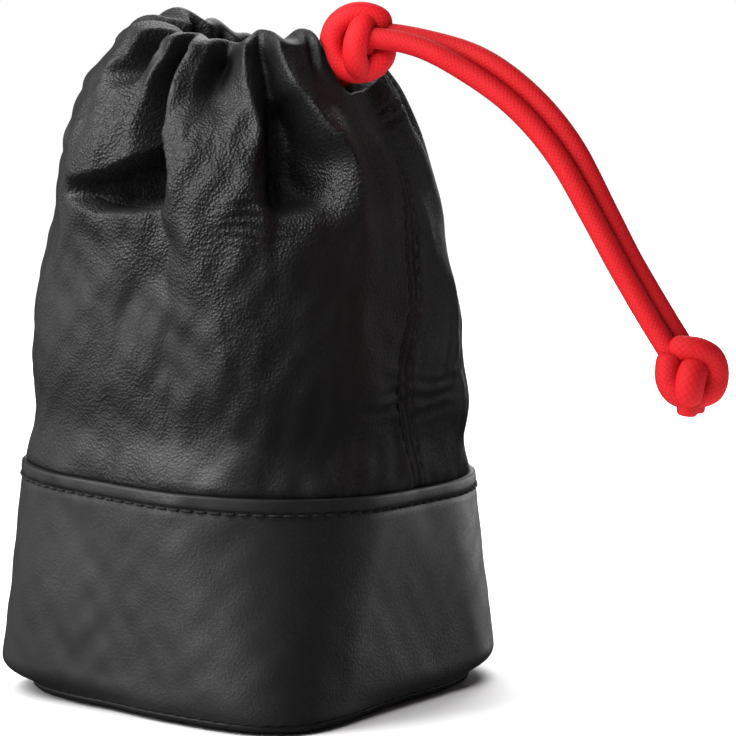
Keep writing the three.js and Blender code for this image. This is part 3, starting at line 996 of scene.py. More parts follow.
@dataclass
class Strand:
    """Braided cord swept along a smooth route."""

    radius: float = 2.0
    sides: int = 36
    step: float = 0.32
    strands: int = 12
    lead: float = 11.0
    relief: float = 0.04
    pillow_mean: float = 0.6
    end_round: float = 1.6

    def route(self, points: Array) -> Array:
        """Even points on a smooth curve through the route's points.

        Args:
            points: the route's points.

        Returns:
            Points about one step apart.
        """
        reach = run_along(points)
        fine = np.linspace(0, reach[-1], 6 * len(points) + 200)
        line = np.stack([through(reach, points[:, k], fine) for k in range(3)], -1)
        run = run_along(line)
        return points_at(line, run, np.linspace(0, run[-1], max(int(run[-1] / self.step), 8)))

    def surface(self, line: Array, start: float = 1.0, end: float = 1.0) -> Surface:
        """Tube along a line, with the pillows of the braid as a fine relief and rounded ends.

        The frame that carries the section starts from one fixed direction, and is then turned back by
        the twist that it gathers from ring to ring, so that the braid isn't twisted.

        Args:
            line: even points of the route.
            start: share of the radius left at the first ring.
            end: share of the radius left at the last ring.

        Returns:
            The closed tube with its UV map.
        """
        tangent = unit(np.gradient(line, axis=0))
        fixed = np.array([0.31, 0.27, 0.91])
        first = unit(fixed - (tangent @ fixed)[:, None] * tangent)
        axis = np.cross(tangent[:-1], tangent[1:])
        cosine = (tangent[:-1] * tangent[1:]).sum(-1, keepdims=True)
        carried = first[:-1] * cosine + np.cross(axis, first[:-1])
        carried += axis * (axis * first[:-1]).sum(-1, keepdims=True) / (1 + cosine)
        side = np.cross(tangent[1:], carried)
        twist = np.arctan2((first[1:] * side).sum(-1), (first[1:] * carried).sum(-1))
        back = -np.concatenate([[0], np.cumsum(twist)])[:, None]
        normal = first * np.cos(back) + np.cross(tangent, first) * np.sin(back)
        other = np.cross(tangent, normal)
        run = run_along(line)
        phi = np.radians(even_azimuths(self.sides))
        around = phi[None] * self.strands / 2
        along = (run * np.pi * self.strands / self.lead)[:, None]
        pillow = np.abs(np.sin(around + along) * np.sin(around - along)) ** PILLOW_POWER
        near = np.minimum(run, run[-1] - run) / self.radius
        left = np.where(run < run[-1] / 2, start, end)
        dome = lerp(left, 1.0, np.sqrt(1 - (1 - np.clip(near * self.end_round, 0, 1)) ** 2))
        girth = (self.radius + self.relief * (pillow - self.pillow_mean)) * dome[:, None]
        ring = np.cos(phi)[None, :, None] * normal[:, None] + np.sin(phi)[None, :, None] * other[:, None]
        points = line[:, None] + ring * girth[..., None]
        return Surface.grid(points, (False, True), run * MM).cap_ends(self.sides)


@dataclass
class Drawcord:
    """The red cord: its loop in the casing, both tails, the two knots and the cut tips."""

    form: PouchForm
    finish: bpy.types.Material
    diameter: float = 4.0
    knot_out: float = 27.2
    knot_rise: float = 3.6
    knot_sink: float = 1.6
    tail_azimuth: float = 8.0
    strand_offset: float = 2.15
    ring_radius: float = 18.2
    cord_depth: float = 6.0
    end_reach: float = 6.512
    tail_route: Rows = (
        (-1.2, -0.01, 14), (0, 0, 14), (3.77, -0.13, 14), (7.52, -0.53, 14), (11.23, -1.18, 14),
        (14.88, -2.09, 17), (18.47, -3.26, 25), (21.96, -4.67, 36), (25.35, -6.32, 45), (28.62, -8.21, 48),
        (31.74, -10.31, 47), (34.71, -12.63, 45), (37.51, -15.16, 43), (40.13, -17.87, 40),
        (42.55, -20.75, 37), (44.77, -23.8, 33), (46.77, -27, 28), (49.6, -31.9, 23), (52.5, -36.9, 19),
        (55.4, -41.9, 17), (58.5, -46.8, 17), (61.7, -51.7, 18), (65, -56.5, 18), (66.7, -58.97, 18),
    )
    loop_back: Rows = ((-9.9, 6.2, -8.5), (-8.2, 4.9, -8.2), (-6.4, 4.1, -7.3), (-4.6, 3.1, -5.7),
                       (-3.2, 2.45, -3.4), (-2.2, 2.1, -1.2), (-1.35, 1.95, 0.3))
    loop_front: Rows = ((-9.9, -6.2, -5.8), (-8.2, -4.9, -6.3), (-6.5, -4.2, -6.5), (-4.8, -3.2, -5.9),
                        (-3.2, -2.55, -4.0), (-2.0, -2.3, -2.2), (-0.85, -2.2, -0.7))
    slide_outer: Rows = (
        (2.2, -1.6, 1.0), (4.0, -0.4, 2.6), (4.2, 0.9, 4.3), (1.9, 1.8, 5.4), (-1.4, 2.2, 5.2),
        (-4.1, 2.2, 3.1), (-5.0, 2.0, -0.4), (-3.9, 2.0, -3.6), (-1.0, 1.9, -5.2), (2.2, 1.5, -4.9),
        (4.5, 0.6, -3.0), (5.1, -1.4, -0.4), (4.2, -3.4, 2.2), (1.2, -4.7, 3.6), (-2.3, -4.5, 2.7),
        (-3.9, -3.8, -0.4), (-2.6, -4.1, -3.3), (0.6, -4.4, -3.4), (2.6, -3.6, -1.4), (1.6, -2.0, 0.4),
    )
    slide_inner: Rows = (
        (1.6, 0.2, 2.6), (1.3, 2.6, 3.5), (0.5, 4.4, 2.4), (-0.3, 5.1, 0.3), (-0.6, 5.0, -1.8),
        (-0.3, 4.1, -3.8), (0.2, 2.4, -4.9), (0.4, 0.2, -4.4),
    )
    end_outer: Rows = (
        (-3.2, 0.4, 4.3), (-1.4, 1.8, 4.4), (1.2, 2.4, 4.1), (3.5, 1.9, 2.7), (4.4, 1.6, -0.3),
        (3.6, 1.4, -3.1), (1.2, 0.2, -4.2), (-1.6, -1.6, -3.9), (-3.5, -2.6, -1.6), (-3.4, -3.0, 1.4),
        (-0.9, -3.8, 2.8), (1.9, -3.5, 1.8), (2.8, -3.0, -0.7), (1.2, -2.6, -2.3),
    )
    end_wrap: Rows = (
        (-3.8, 1.2, 3.3), (-4.3, 1.9, 1.0), (-4.2, 2.4, -1.4), (-2.9, 2.7, -3.4), (-0.6, 1.8, -4.1),
        (1.5, -0.4, -3.0),
    )
    slide_core: Rows = ((-3.2, 0.4, 1.8), (-1.6, 0.8, 0.4), (0.6, 0.6, -0.6), (2.6, -0.6, -1.4))
    end_core: Rows = ((-3.2, -0.4, 2.4), (-1.6, 0.4, 0.9), (0.4, 0.4, -0.6), (2.4, -0.6, -1.6))
    end_centre: Rows = (
        (0.6, 1.0, 0.6), (0.1, 2.8, 0.4), (-0.4, 3.8, -0.7), (-0.7, 4.1, -2.1), (-0.9, 3.8, -3.6),
        (-1.0, 3.0, -4.9),
    )
    tip_front: Rows = ((-0.6, 3.2, -4.2), (-0.9, 2.6, -7.4))
    tip_back: Rows = ((1.0, -1.9, -4.0), (1.03, -1.9, -7.6))
    bend_span: Rows = ((-1.2, 0, 0), (8, 0, -0.6))
    loop_gap: float = 28.0
    loop_rings: int = 37
    path_points: int = 120
    swell: float = 0.03
    knot_strand: float = 2.35
    wide_strand: float = 2.75
    knot_lead: float = 9.5
    cord_ends: Pair = (0.7, 0.7)
    knot_ends: Pair = (0.5, 0.5)
    tip_ends: Pair = (0.6, 0.82)

    @property
    def knot_middle(self) -> Array:
        """Point that the tails and the slide knot turn about."""
        return np.array([self.knot_out, 0.0, float(self.form.rim(np.array(0.0))) + self.knot_rise])

    @property
    def photo_axes(self) -> Array:
        """Axes of the knots' strands: to the right, towards the viewer, and up."""
        b = np.radians(PHOTO_HEADING)
        return np.array([[np.cos(b), np.sin(b), 0], [np.sin(b), -np.cos(b), 0], [0, 0, 1]])

    def pull(self, points: Array) -> Array:
        """Points of the tails' own frame, turned to the tails' azimuth and moved to the knot's middle.

        Args:
            points: points in the tails' frame.

        Returns:
            Points in the pouch's frame.
        """
        a = np.radians(self.tail_azimuth)
        axes = np.array([[np.cos(a), np.sin(a), 0], [-np.sin(a), np.cos(a), 0], [0, 0, 1]])
        return points @ axes + self.knot_middle

    def tail_points(self, side: int) -> Array:
        """Route of one tail: the pair lies side by side and is rolled about its common route.

        Args:
            side: -1 for the front tail and 1 for the back one.

        Returns:
            Points in millimetres.
        """
        out, up, roll = np.array(self.tail_route).T
        d_out, d_up = np.gradient(out), np.gradient(up)
        size = np.hypot(d_out, d_up)
        across = side * self.strand_offset * np.cos(np.radians(roll))
        lift = side * self.strand_offset * np.sin(np.radians(roll))
        return self.pull(np.stack([out - lift * d_up / size, across, up + lift * d_out / size], -1))

    def loop_points(self) -> Array:
        """Route of the loop: out of the knot, round the throat in the casing, and back to the knot.

        Returns:
            Points in millimetres.
        """
        azimuth = np.linspace(self.loop_gap, 360 - self.loop_gap, self.loop_rings)
        ring = polar(azimuth, self.ring_radius, self.form.rim(azimuth) - self.cord_depth)
        ends = [np.array(rows) + self.knot_middle for rows in (self.loop_back, self.loop_front)]
        return np.concatenate([ends[0][::-1], ring, ends[1]])

    @property
    def end_middle(self) -> Array:
        """Middle of the end knot, straight on from the tails.

        Returns:
            A point in millimetres.
        """
        before, last = np.array(self.tail_route)[-3:-1, :2]
        out, up = last + unit(last - before) * self.end_reach
        return self.pull(np.array([[out, 0.0, up]]))[0]

    def cord(self, name: str, points: Array, body: Body, far_end: str, *nodes: str) -> bpy.types.Object:
        """One length of the cord along its route.

        Args:
            name: name of the piece.
            points: points of its route.
            body: the body that it moves with.
            far_end: not used.
            nodes: the CAD nodes that it stands for.

        Returns:
            The piece.
        """
        strand = Strand(self.diameter / 2 + self.swell)
        line = strand.route(points)
        bend = self.pull(np.array(self.bend_span)) if body is Body.PULL else None
        tube = strand.surface(line, *self.cord_ends)
        piece = dress(name, [tube], self.finish, body, "red_cord", *nodes, bend=bend)
        path = (line[:: max(len(line) // self.path_points, 1)] * MM).tolist() + [(line[-1] * MM).tolist()]
        self.diameter * MM
        return piece

    def knot(
        self, name: str, middle: Array, strands: Sequence[tuple[Rows, float]], body: Body, node: str
    ) -> bpy.types.Object:
        """A knot of strands that wind round each other.

        Args:
            name: name of the piece.
            middle: the knot's middle.
            strands: routes of its strands to the right, towards the viewer and up, with their radii.
            body: the body that it moves with.
            node: the CAD node that it stands for.

        Returns:
            The piece.
        """
        parts = []
        for rows, radius in strands:
            strand = Strand(radius, lead=self.knot_lead)
            line = strand.route(np.array(rows) @ self.photo_axes + middle)
            parts.append(strand.surface(line, *self.knot_ends))
        return dress(name, parts, self.finish, body, "red_cord", node)

    def tip(self, name: str, rows: Rows, node: str) -> bpy.types.Object:
        """A cut end of the cord under the end knot, sealed to a low dome.

        Args:
            name: name of the piece.
            rows: its upper and lower end from the knot's middle, to the right, towards the viewer and up.
            node: the CAD node that it stands for.

        Returns:
            The piece.
        """
        top, bottom = np.array(rows)
        points = lerp(top, bottom, np.linspace(0, 1, 5)[:, None]) @ self.photo_axes + self.end_middle
        strand = Strand(self.diameter / 2)
        tube = strand.surface(strand.route(points), *self.tip_ends)
        return dress(name, [tube], self.finish, Body.PULL, "red_cord", node)

    def build(self) -> None:
        """Make every length and knot of the cord."""
        self.cord("cord_loop", self.loop_points(), Body.POUCH, "object", "drawcord_loop")
        self.cord("cord_tail_front", self.tail_points(-1), Body.PULL, "knot", "tail_front")
        self.cord("cord_tail_back", self.tail_points(1), Body.PULL, "knot", "tail_back")
        sunk = self.knot_middle - np.array([0, 0, self.knot_sink])
        slide = [(rows, self.knot_strand) for rows in (self.slide_outer, self.slide_inner, self.slide_core)]
        self.knot("running_knot", sunk, slide, Body.KNOT, "slide_knot").visible_glossy = False
        end = [(rows, self.knot_strand) for rows in (self.end_outer, self.end_wrap)]
        end += [(rows, self.wide_strand) for rows in (self.end_centre, self.end_core)]
        self.knot("tail_knot", self.end_middle, end, Body.PULL, "end_knot")
        self.tip("tip_front", self.tip_front, "cord_tip_front")
        self.tip("tip_back", self.tip_back, "cord_tip_back")


@dataclass
class Base:
    """The square base: bottom panel, stiff board, pads, the leather band and its stitches."""

    form: PouchForm
    leather: bpy.types.Material
    thread: bpy.types.Material
    foam: bpy.types.Material
    cloth: bpy.types.Material
    board: bpy.types.Material
    # Columns of the meshes
    columns: int = 440
    panel_columns: int = 240
    pad_columns: int = 200
    # Band
    slow_hide: Ripples = Ripples(0.16, 11, (2, 9), 26.0)
    fine_hide: Ripples = Ripples(0.05, 12, (10, 40), 7.0)
    calm_side: Rows = ((0, 60, 0.55),)
    hide_fade: float = 6.0
    edge_round: float = 0.4
    fold_height: float = 2.4
    fold_proud: float = 0.2
    fold_drop: float = 0.5
    # Stitches and the groove that they lie in
    stitch_count: int = 104
    stitch_drop: float = 3.0
    stitch_proud: float = 0.12
    base_stitch_proud: float = -0.55
    groove_depth: float = 0.22
    groove_half: float = 0.75
    # Panel, pads and lining
    panel_inset: float = 0.3
    panel_edge: float = 0.7
    panel_under: float = 3.4
    pad_play: float = 0.4
    pad_edge: float = 1.6
    pad_crown: float = 0.3
    cloth_lift: float = 0.1
    cloth_edge: float = 0.4
    strip_thin: float = 0.3

    def face(self, azimuth: Array, z: Array) -> Array:
        """Band's face with slow waves of the hide and a shallow groove along the stitches.

        Args:
            azimuth: azimuths in degrees.
            z: heights in millimetres.

        Returns:
            Radii in millimetres.
        """
        form = self.form
        waves = self.slow_hide.at(azimuth, z) + self.fine_hide.at(azimuth, z)
        waves *= 1 - humps(self.calm_side, azimuth)
        waves *= smoothstep(z, form.band_bottom, form.band_bottom + self.hide_fade)
        row = form.band_top(azimuth) - self.stitch_drop
        return form.band_face(azimuth, z) + waves - self.groove_depth * groove(z - row, self.groove_half)

    def band(self) -> bpy.types.Object:
        """Leather band: rounded lower edge, wavy face, and a folded top edge that stands proud.

        Returns:
            The piece.
        """
        form, azimuth = self.form, even_azimuths(self.columns)
        top, low = form.band_top(azimuth), form.band_bottom
        fold, half = top - self.fold_height, self.fold_height / 2
        foot = form.band_face(azimuth, np.full_like(azimuth, low)) - self.edge_round
        rows = []
        for angle in np.radians(np.linspace(-90, -15, 5)):
            z = np.full_like(azimuth, low + self.edge_round * np.sin(angle))
            rows.append((foot + self.edge_round * np.cos(angle), z))
        for share in np.linspace(0.03, 1, 78):
            z = lerp(low, fold, share)
            rows.append((self.face(azimuth, z), z))
        for angle in np.radians(np.linspace(-75, 90, 14)):
            z = fold + half + half * np.sin(angle)
            bulge = self.fold_proud * np.cos(angle) ** 0.4 - self.fold_drop * max(np.sin(angle), 0) ** 8
            rows.append((self.face(azimuth, z) + bulge, z))
        for share in np.linspace(1, 0, 14):
            z = lerp(low, top - self.edge_round, share)
            rows.append((form.band_face(azimuth, z) - form.band_leather, z))
        ring = closed_ring(azimuth, rows)
        piece = dress("band_leather_wrap", [ring], self.leather, Body.POUCH, "band_leather", "base_band")
        return piece

    def panel(self) -> bpy.types.Object:
        """Leather panel under the pouch, with an edge that rounds in towards the ground.

        Returns:
            The piece.
        """
        form, azimuth = self.form, even_azimuths(self.panel_columns)
        outline = form.band_face(azimuth, np.full_like(azimuth, form.band_bottom)) - self.panel_inset
        panel = slab(azimuth, outline, 0.0, form.panel, self.panel_edge, under=self.panel_under)
        piece = dress("panel_leather", [panel], self.leather, Body.POUCH, "sleeve_leather", "base_panel")
        return piece

    def pads(self) -> None:
        """Foam pad and lining on the board, and the foam strip behind the band."""
        form, azimuth = self.form, even_azimuths(self.pad_columns)
        low, behind = form.pad_bottom, form.band_leather + form.gap
        inset = behind + form.gap + form.foam + self.pad_play
        outline = form.band_face(azimuth, np.full_like(azimuth, low)) - inset
        pad = slab(azimuth, outline, low, low + form.pad - self.pad_crown, self.pad_edge, self.pad_crown)
        dress("floor_pad", [pad], self.foam, Body.POUCH, "padding_foam", "base_pad")
        floor = form.floor_bottom + self.cloth_lift
        cloth = slab(azimuth, outline, floor, floor + form.lining, self.cloth_edge)
        piece = dress("lining_bottom", [cloth], self.cloth, Body.POUCH, "lining_cloth", "lining_floor")
        share = np.linspace(0, 1, 14)[:, None]
        z = lerp(low, form.band_top(azimuth) - form.tuck - form.gap, share)
        outer = form.band_face(azimuth, z) - behind
        inner = outer - form.foam + self.strip_thin * (1 - bump(share - 0.5, 0.5))
        ring = closed_ring(azimuth, [*zip(outer, z), *zip(inner[::-1], z[::-1])])
        dress("foam_strip", [ring], self.foam, Body.POUCH, "padding_foam", "band_foam")

    def ring_stitches(self, name: str, height: Array, proud: float, node: str) -> bpy.types.Object:
        """Row of stitches round the band.

        Args:
            name: name of the piece.
            height: height of each stitch.
            proud: how far the thread's middle lies over the face.
            node: the CAD node that it stands for.

        Returns:
            The piece.
        """
        azimuth = even_azimuths(self.stitch_count)
        middle = polar(azimuth, self.face(azimuth, height) + proud, height)
        along = unit(np.roll(middle, -1, 0) - np.roll(middle, 1, 0))
        out = unit(np.cross(along, np.array([0.0, 0.0, 1.0])))
        row = StitchRow().surface(middle, along, out)
        return dress(name, [row], self.thread, Body.POUCH, "black_thread", node)

    def stitches(self) -> None:
        """Row under the band's top edge and row of the seam over the panel."""
        row = self.form.band_top(even_azimuths(self.stitch_count)) - self.stitch_drop
        self.ring_stitches("band_stitches", row, self.stitch_proud, "band_topstitch")
        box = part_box("base_stitch")
        low = np.full_like(row, (box[0][2] + box[1][2]) / 2 / MM)
        self.ring_stitches("base_stitches", low, self.base_stitch_proud, "base_stitch")

    def build(self) -> None:
        """Make and dress the whole base."""
        self.band()
        self.panel()
        self.pads()
        self.stitches()
        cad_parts["base_board"].data.materials.clear()
        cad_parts["base_board"].data.materials.append(self.board)


@dataclass
class Sleeve:
    """The gathered upper: leather with its casing, lining, seam tape and stitches."""

    form: PouchForm
    leather: bpy.types.Material
    thread: bpy.types.Material
    cloth: bpy.types.Material
    # Columns and rows of the meshes
    columns: int = 440
    wall_rows: int = 150
    lining_columns: int = 240
    # Wall, tuck behind the band, and the gap in the casing
    wall_end: float = 0.965
    compress_from: float = 0.8
    tuck_drops: Pair = (4.0, 1.0)
    gap_depth: float = 6.8
    gap_rows: Rows = (
        (-19, 0), (-15.5, 0.03), (-13.5, 0.2), (-11.5, 0.56), (-8, 0.76), (0, 0.76), (7, 0.73), (12, 0.67),
        (18, 0.52), (26, 0.26), (35, 0.03), (40, 0),
    )
    # Mouth, hem and casing
    mouth_play: float = 0.4
    mouth_limit: float = 15.9
    pleats: Ripples = Ripples(0.7, 25, (11, 19), 30.0)
    trough: float = 3.5
    trough_hem: float = 2.5
    hem_level: float = 0.76
    hem_drop: float = 9.5
    hem_play: float = 0.8
    hem_least: float = 1.2
    tip_play: float = 0.5
    casing_lift: float = 1.0
    casing_roof: float = 0.6
    # Lining and tape
    lining_level: float = 0.72
    lining_lift: float = 0.2
    lining_play: float = 1.4
    tape_width: float = 8.0
    tape_play: float = 0.4
    # Swellings of the hide
    slow_hide: Ripples = Ripples(1.0, 21, (3, 14), 16.0)
    slow_rise: Pair = (0.17, 0.28)
    slow_span: Pair = (0.25, 0.5)
    fine_hide: Ripples = Ripples(0.1, 22, (14, 50), 6.0)
    upper_hide: Ripples = Ripples(0.15, 26, (16, 44), 7.0)
    upper_span: Pair = (0.45, 0.75)
    smooth_calm: float = 0.8
    smooth_span: Pair = (0.3, 0.5)
    bulge: Patch = Patch(1.7, 40, 34, 0.15, 0.11)
    brow: Patch = Patch(0.5, -96, 24, 0.575, 0.05)
    puckers: Ripples = Ripples(0.07, 24, (30, 60), 30.0)
    pucker_reach: float = 0.09
    pucker_squeeze: float = 0.2
    # Creased patches with their waves per millimetre and slants per degree, in radians
    creased: tuple[tuple[Patch, float, float], ...] = (
        (Patch(0.26, -50, 15, 0.59, 0.1), 3.1, 0.0),
        (Patch(0.24, 4, 30, 0.2, 0.09), 2.1, 0.03),
        (Patch(0.2, 150, 60, 0.3, 0.2), 1.3, 0.0),
    )
    crease_phase: Ripples = Ripples(0.9, 23, (4, 24), 14.0)
    # Rings round the gap's lip, and streaks at the rim
    lip_azimuth: float = 6.0
    lip_flat: float = 0.38
    lip_drop: float = 3.0
    lip_away: float = 9.5
    lip_half: float = 4.0
    lip_edge: float = 8.0
    lip_rise: float = 0.32
    lip_wave: float = 2.7
    streaks: Rows = ((-19.5, 2.2, 0.9), (-23.5, 2.6, -0.81))
    streak_span: Pair = (0.9, 0.95)
    # Side seam
    seam_start: float = 0.03
    seam_fade: Pair = (0.74, 0.8)
    welt_rise: float = 0.4
    welt_half: float = 4.5
    join_depth: float = 0.65
    join_half: float = 0.5
    row_depth: float = 0.45
    row_half: float = 0.55
    row_spacing: float = 3.6
    # Stitches, and the tucks along the casing's row
    stitch_pitch: float = 2.9
    seam_proud: float = -0.1
    casing_proud: float = -0.46
    casing_level: float = 0.78
    casing_sink: float = 0.05
    casing_reach: float = 0.008
    tucks: int = 96
    tuck_rise: float = 0.04
    tuck_reach: float = 0.03
    corner_tucks: Rows = ((-70, 15, 0.14),)

    def gap(self, azimuth: Array) -> Array:
        """Share of the gap in the casing: 1 in it and 0 outside it."""
        return np.clip(curve(self.gap_rows, turn(azimuth, 0.0)), 0, 1)

    def hide(self, azimuth: Array, share: Array, z: Array) -> Array:
        """Swellings of the hide all over, calmer on the smooth side, and small puckers above the band.

        Args:
            azimuth: azimuths in degrees.
            share: shares of the sleeve's height.
            z: heights in millimetres.

        Returns:
            Radial rise in millimetres.
        """
        rough = 1 - self.smooth_calm * self.form.smooth_side(azimuth) * smoothstep(share, *self.smooth_span)
        rise = lerp(*self.slow_rise, smoothstep(share, *self.slow_span)) * self.slow_hide.at(azimuth, z)
        upper = smoothstep(share, *self.upper_span) * self.upper_hide.at(azimuth, z)
        fine = self.fine_hide.at(azimuth, z) + upper
        near = smoothstep(self.pucker_reach - share, 0.0, self.pucker_reach)
        pucker = near * self.puckers.at(azimuth, z * self.pucker_squeeze)
        return rise + rough * fine + pucker + self.bulge.at(azimuth, share) + self.brow.at(azimuth, share)

    def creases(self, azimuth: Array, share: Array, z: Array) -> Array:
        """Waves up the creased patches, rings round the gap's lip, and two streaks at the rim.

        Each creased patch has waves of sin(wave·z - slant·azimuth + phase), with a seeded phase.

        Args:
            azimuth: azimuths in degrees.
            share: shares of the sleeve's height.
            z: heights in millimetres.

        Returns:
            Radial rise in millimetres.
        """
        phase = self.crease_phase.at(azimuth, z)
        waves = humps(self.streaks, azimuth) * smoothstep(share, *self.streak_span)
        for patch, wave, slant in self.creased:
            waves += patch.at(azimuth, share) * np.sin(z * wave - slant * azimuth + phase)
        beside = turn(azimuth, self.lip_azimuth)
        away = np.hypot(self.lip_flat * beside, z - self.form.rim(azimuth) + self.lip_drop)
        lip = bump(away - self.lip_away, self.lip_half) * smoothstep(beside, 0, self.lip_edge)
        return waves + self.lip_rise * lip * np.sin(away * self.lip_wave)

    def welt(self, azimuth: Array, share: Array) -> Array:
        """Relief of the side seam: a low welt with a sunken join and a groove under each row of stitches.

        Args:
            azimuth: azimuths in degrees.
            share: shares of the sleeve's height.

        Returns:
            Radial rise in millimetres.
        """
        off = np.radians(turn(azimuth, self.form.seam(share))) * SEAM_RADIUS
        seam = self.welt_rise * bump(off, self.welt_half) - self.join_depth * groove(off, self.join_half)
        seam -= self.row_depth * groove(np.abs(off) - self.row_spacing / 2, self.row_half)
        return seam * (1 - smoothstep(share, *self.seam_fade))

    def face(self, azimuth: Array, share: Array) -> Array:
        """Outer face with folds, hide, creases, the seam, and the small tucks along the casing's stitches.

        Args:
            azimuth: azimuths in degrees.
            share: shares of the sleeve's height.

        Returns:
            Radii in millimetres.
        """
        z = self.form.sleeve_height(azimuth, share)
        tack = np.sin(np.radians(azimuth) * self.tucks) * (self.tuck_rise + humps(self.corner_tucks, azimuth))
        over = share - self.casing_level
        row = tack * bump(over, self.tuck_reach) - self.casing_sink * bump(over, self.casing_reach)
        fine = self.hide(azimuth, share, z) + self.creases(azimuth, share, z) + self.welt(azimuth, share)
        return self.form.sleeve_face(azimuth, share) + fine + row

    def upper(self) -> bpy.types.Object:
        """The leather as one closed sheet: tuck, wall, crown, hem and the casing between.

        The wall's height is the share of the way to the rim, squeezed above a level where the rim dips
        into the gap. The crown is half an ellipse from the wall to the mouth, turned into a trough in
        the gap, and the hem runs down inside and out to the wall.

        Returns:
            The piece.
        """
        form, azimuth = self.form, even_azimuths(self.columns)
        rim, top = form.rim(azimuth), form.band_top(azimuth)
        gap = self.gap(azimuth)
        dip = rim - self.gap_depth * gap
        reach = (dip - top) / (rim - top)

        def wall(share: float) -> tuple[Array, Array]:
            """Share of the form and height at a row of the wall.

            Args:
                share: share of the way up the wall.

            Returns:
                Shares of the form's height, and heights in millimetres.
            """
            level = self.compress_from
            over = max(share - level, 0) / (1 - level)
            at = np.full_like(azimuth, min(share, level)) + over * (reach - level)
            return at, form.sleeve_height(azimuth, at)

        def behind(z: Array) -> Array:
            """Radius just inside the band at a height."""
            return form.band_face(azimuth, z) - form.band_leather - form.gap

        rows = [(behind(top - drop), top - drop) for drop in (form.tuck, *self.tuck_drops)]
        for share in np.linspace(0, self.wall_end, self.wall_rows):
            at, z = wall(share)
            rows.append((self.face(azimuth, at), z))
        outer, shoulder = rows[-1]
        pleat = self.pleats.at(azimuth, np.zeros_like(azimuth))
        mouth = np.minimum(form.mouth + self.mouth_play + pleat, self.mouth_limit)
        hem_top = dip - 2 * form.hem_leather - self.trough_hem * gap
        arch = lerp(dip - lerp(shoulder, hem_top, 0.5), -self.trough, gap) + pleat
        for angle in np.radians(np.linspace(12, 168, 14)):
            share = (1 - np.cos(angle)) / 2
            rows.append((lerp(outer, mouth, share), lerp(shoulder, hem_top, share) + arch * np.sin(angle)))
        hem_low = np.minimum(rim - self.hem_drop - self.hem_play, hem_top - self.hem_least)
        rows += [(mouth, lerp(hem_top, hem_low, share)) for share in np.linspace(0, 1, 6)]
        level = np.full_like(azimuth, self.hem_level)
        tip = self.face(azimuth, level) - form.sleeve_leather - self.tip_play
        tip_z = form.sleeve_height(azimuth, level)
        for share in (0.3, 0.65, 0.95):
            rows.append((lerp(mouth, tip, share), lerp(hem_low, tip_z - self.hem_play, share)))
        rows.append((tip, tip_z))
        casing, casing_low = mouth + form.hem_leather, hem_low + self.casing_lift
        rows += [(lerp(tip, casing, share), lerp(tip_z, casing_low, share)) for share in (0.5, 1.0)]
        rows.append((casing, lerp(casing_low, hem_top - self.casing_roof, 0.9)))
        roof = lerp(hem_top, dip, 0.4) - self.casing_roof - self.trough * gap
        rows.append((lerp(casing, outer, 0.5), roof))
        for share in np.linspace(0.95, 0, 34):
            at, z = wall(share)
            rows.append((self.face(azimuth, at) - form.sleeve_leather, z))
        for drop in (self.tuck_drops[-1], form.tuck):
            rows.append((behind(top - drop) - form.sleeve_leather, top - drop))
        ring = closed_ring(azimuth, rows)
        name, slot = "sleeve_leather_upper", "sleeve_leather"
        piece = dress(name, [ring], self.leather, Body.POUCH, slot, "upper_sleeve")
        return piece

    def lining(self) -> bpy.types.Object:
        """Lining of the wall, from the floor up to the hem.

        Returns:
            The piece.
        """
        form, azimuth = self.form, even_azimuths(self.lining_columns)
        low, top = form.floor_bottom + form.lining + form.gap + self.lining_lift, form.band_top(azimuth)
        draw = form.band_leather + form.foam + 2 * form.gap
        under = form.sleeve_leather + form.tape + self.lining_play
        heights = lerp(low, top, np.linspace(0, 1, 12)[:, None])
        rows = [(form.band_face(azimuth, z) - draw, z) for z in heights]
        for share in np.linspace(self.seam_start, self.lining_level, 40):
            level = np.full_like(azimuth, share)
            rows.append((form.sleeve_face(azimuth, level) - under, form.sleeve_height(azimuth, level)))
        rows += [(radius - form.lining, z) for radius, z in rows[::-1]]
        ring = closed_ring(azimuth, rows)
        piece = dress("lining_wall", [ring], self.cloth, Body.POUCH, "lining_cloth", "lining_sleeve")
        return piece

    def tape(self) -> bpy.types.Object:
        """Tape behind the side seam: a flat strip on the sleeve's inner face.

        Returns:
            The piece.
        """
        share = np.linspace(self.seam_start, self.lining_level, 60)
        across = np.array([-1, -0.5, 0, 0.5, 1, 1, 0.5, 0, -0.5, -1])
        offset = across * np.degrees(self.tape_width / 2 / SEAM_RADIUS)
        depth = np.array([0] * 5 + [1] * 5) * self.form.tape
        azimuth, level = self.form.seam(share)[:, None] + offset[None], np.repeat(share[:, None], 10, 1)
        inner = self.form.sleeve_face(azimuth, level) - self.form.sleeve_leather
        radius = inner - self.tape_play - depth[None]
        points = polar(azimuth, radius, self.form.sleeve_height(azimuth, level))
        strip = Surface.grid(points, (False, True)).cap_ends(10)
        return dress("seam_tape", [strip], self.cloth, Body.POUCH, "lining_cloth", "side_seam_tape")

    def stitched(self, name: str, azimuth: Array, share: Array, node: str, proud: float) -> bpy.types.Object:
        """Row of stitches along a line on the sleeve's face.

        Args:
            name: name of the piece.
            azimuth: azimuths of a fine line.
            share: shares of the height on that line.
            node: the CAD node that it stands for.
            proud: how far the thread's middle lies over the face.

        Returns:
            The piece.
        """
        line = polar(azimuth, self.face(azimuth, share), self.form.sleeve_height(azimuth, share))
        run = run_along(line)
        count = int(run[-1] / self.stitch_pitch)
        at = (np.arange(count) + 0.5) * run[-1] / count
        seat_azimuth, seat_share = np.interp(at, run, azimuth), np.interp(at, run, share)

        def point(turned: float, raised: float) -> Array:
            """Points of the face beside the stitches."""
            a, s = seat_azimuth + turned, seat_share + raised
            return polar(a, self.face(a, s), self.form.sleeve_height(a, s))

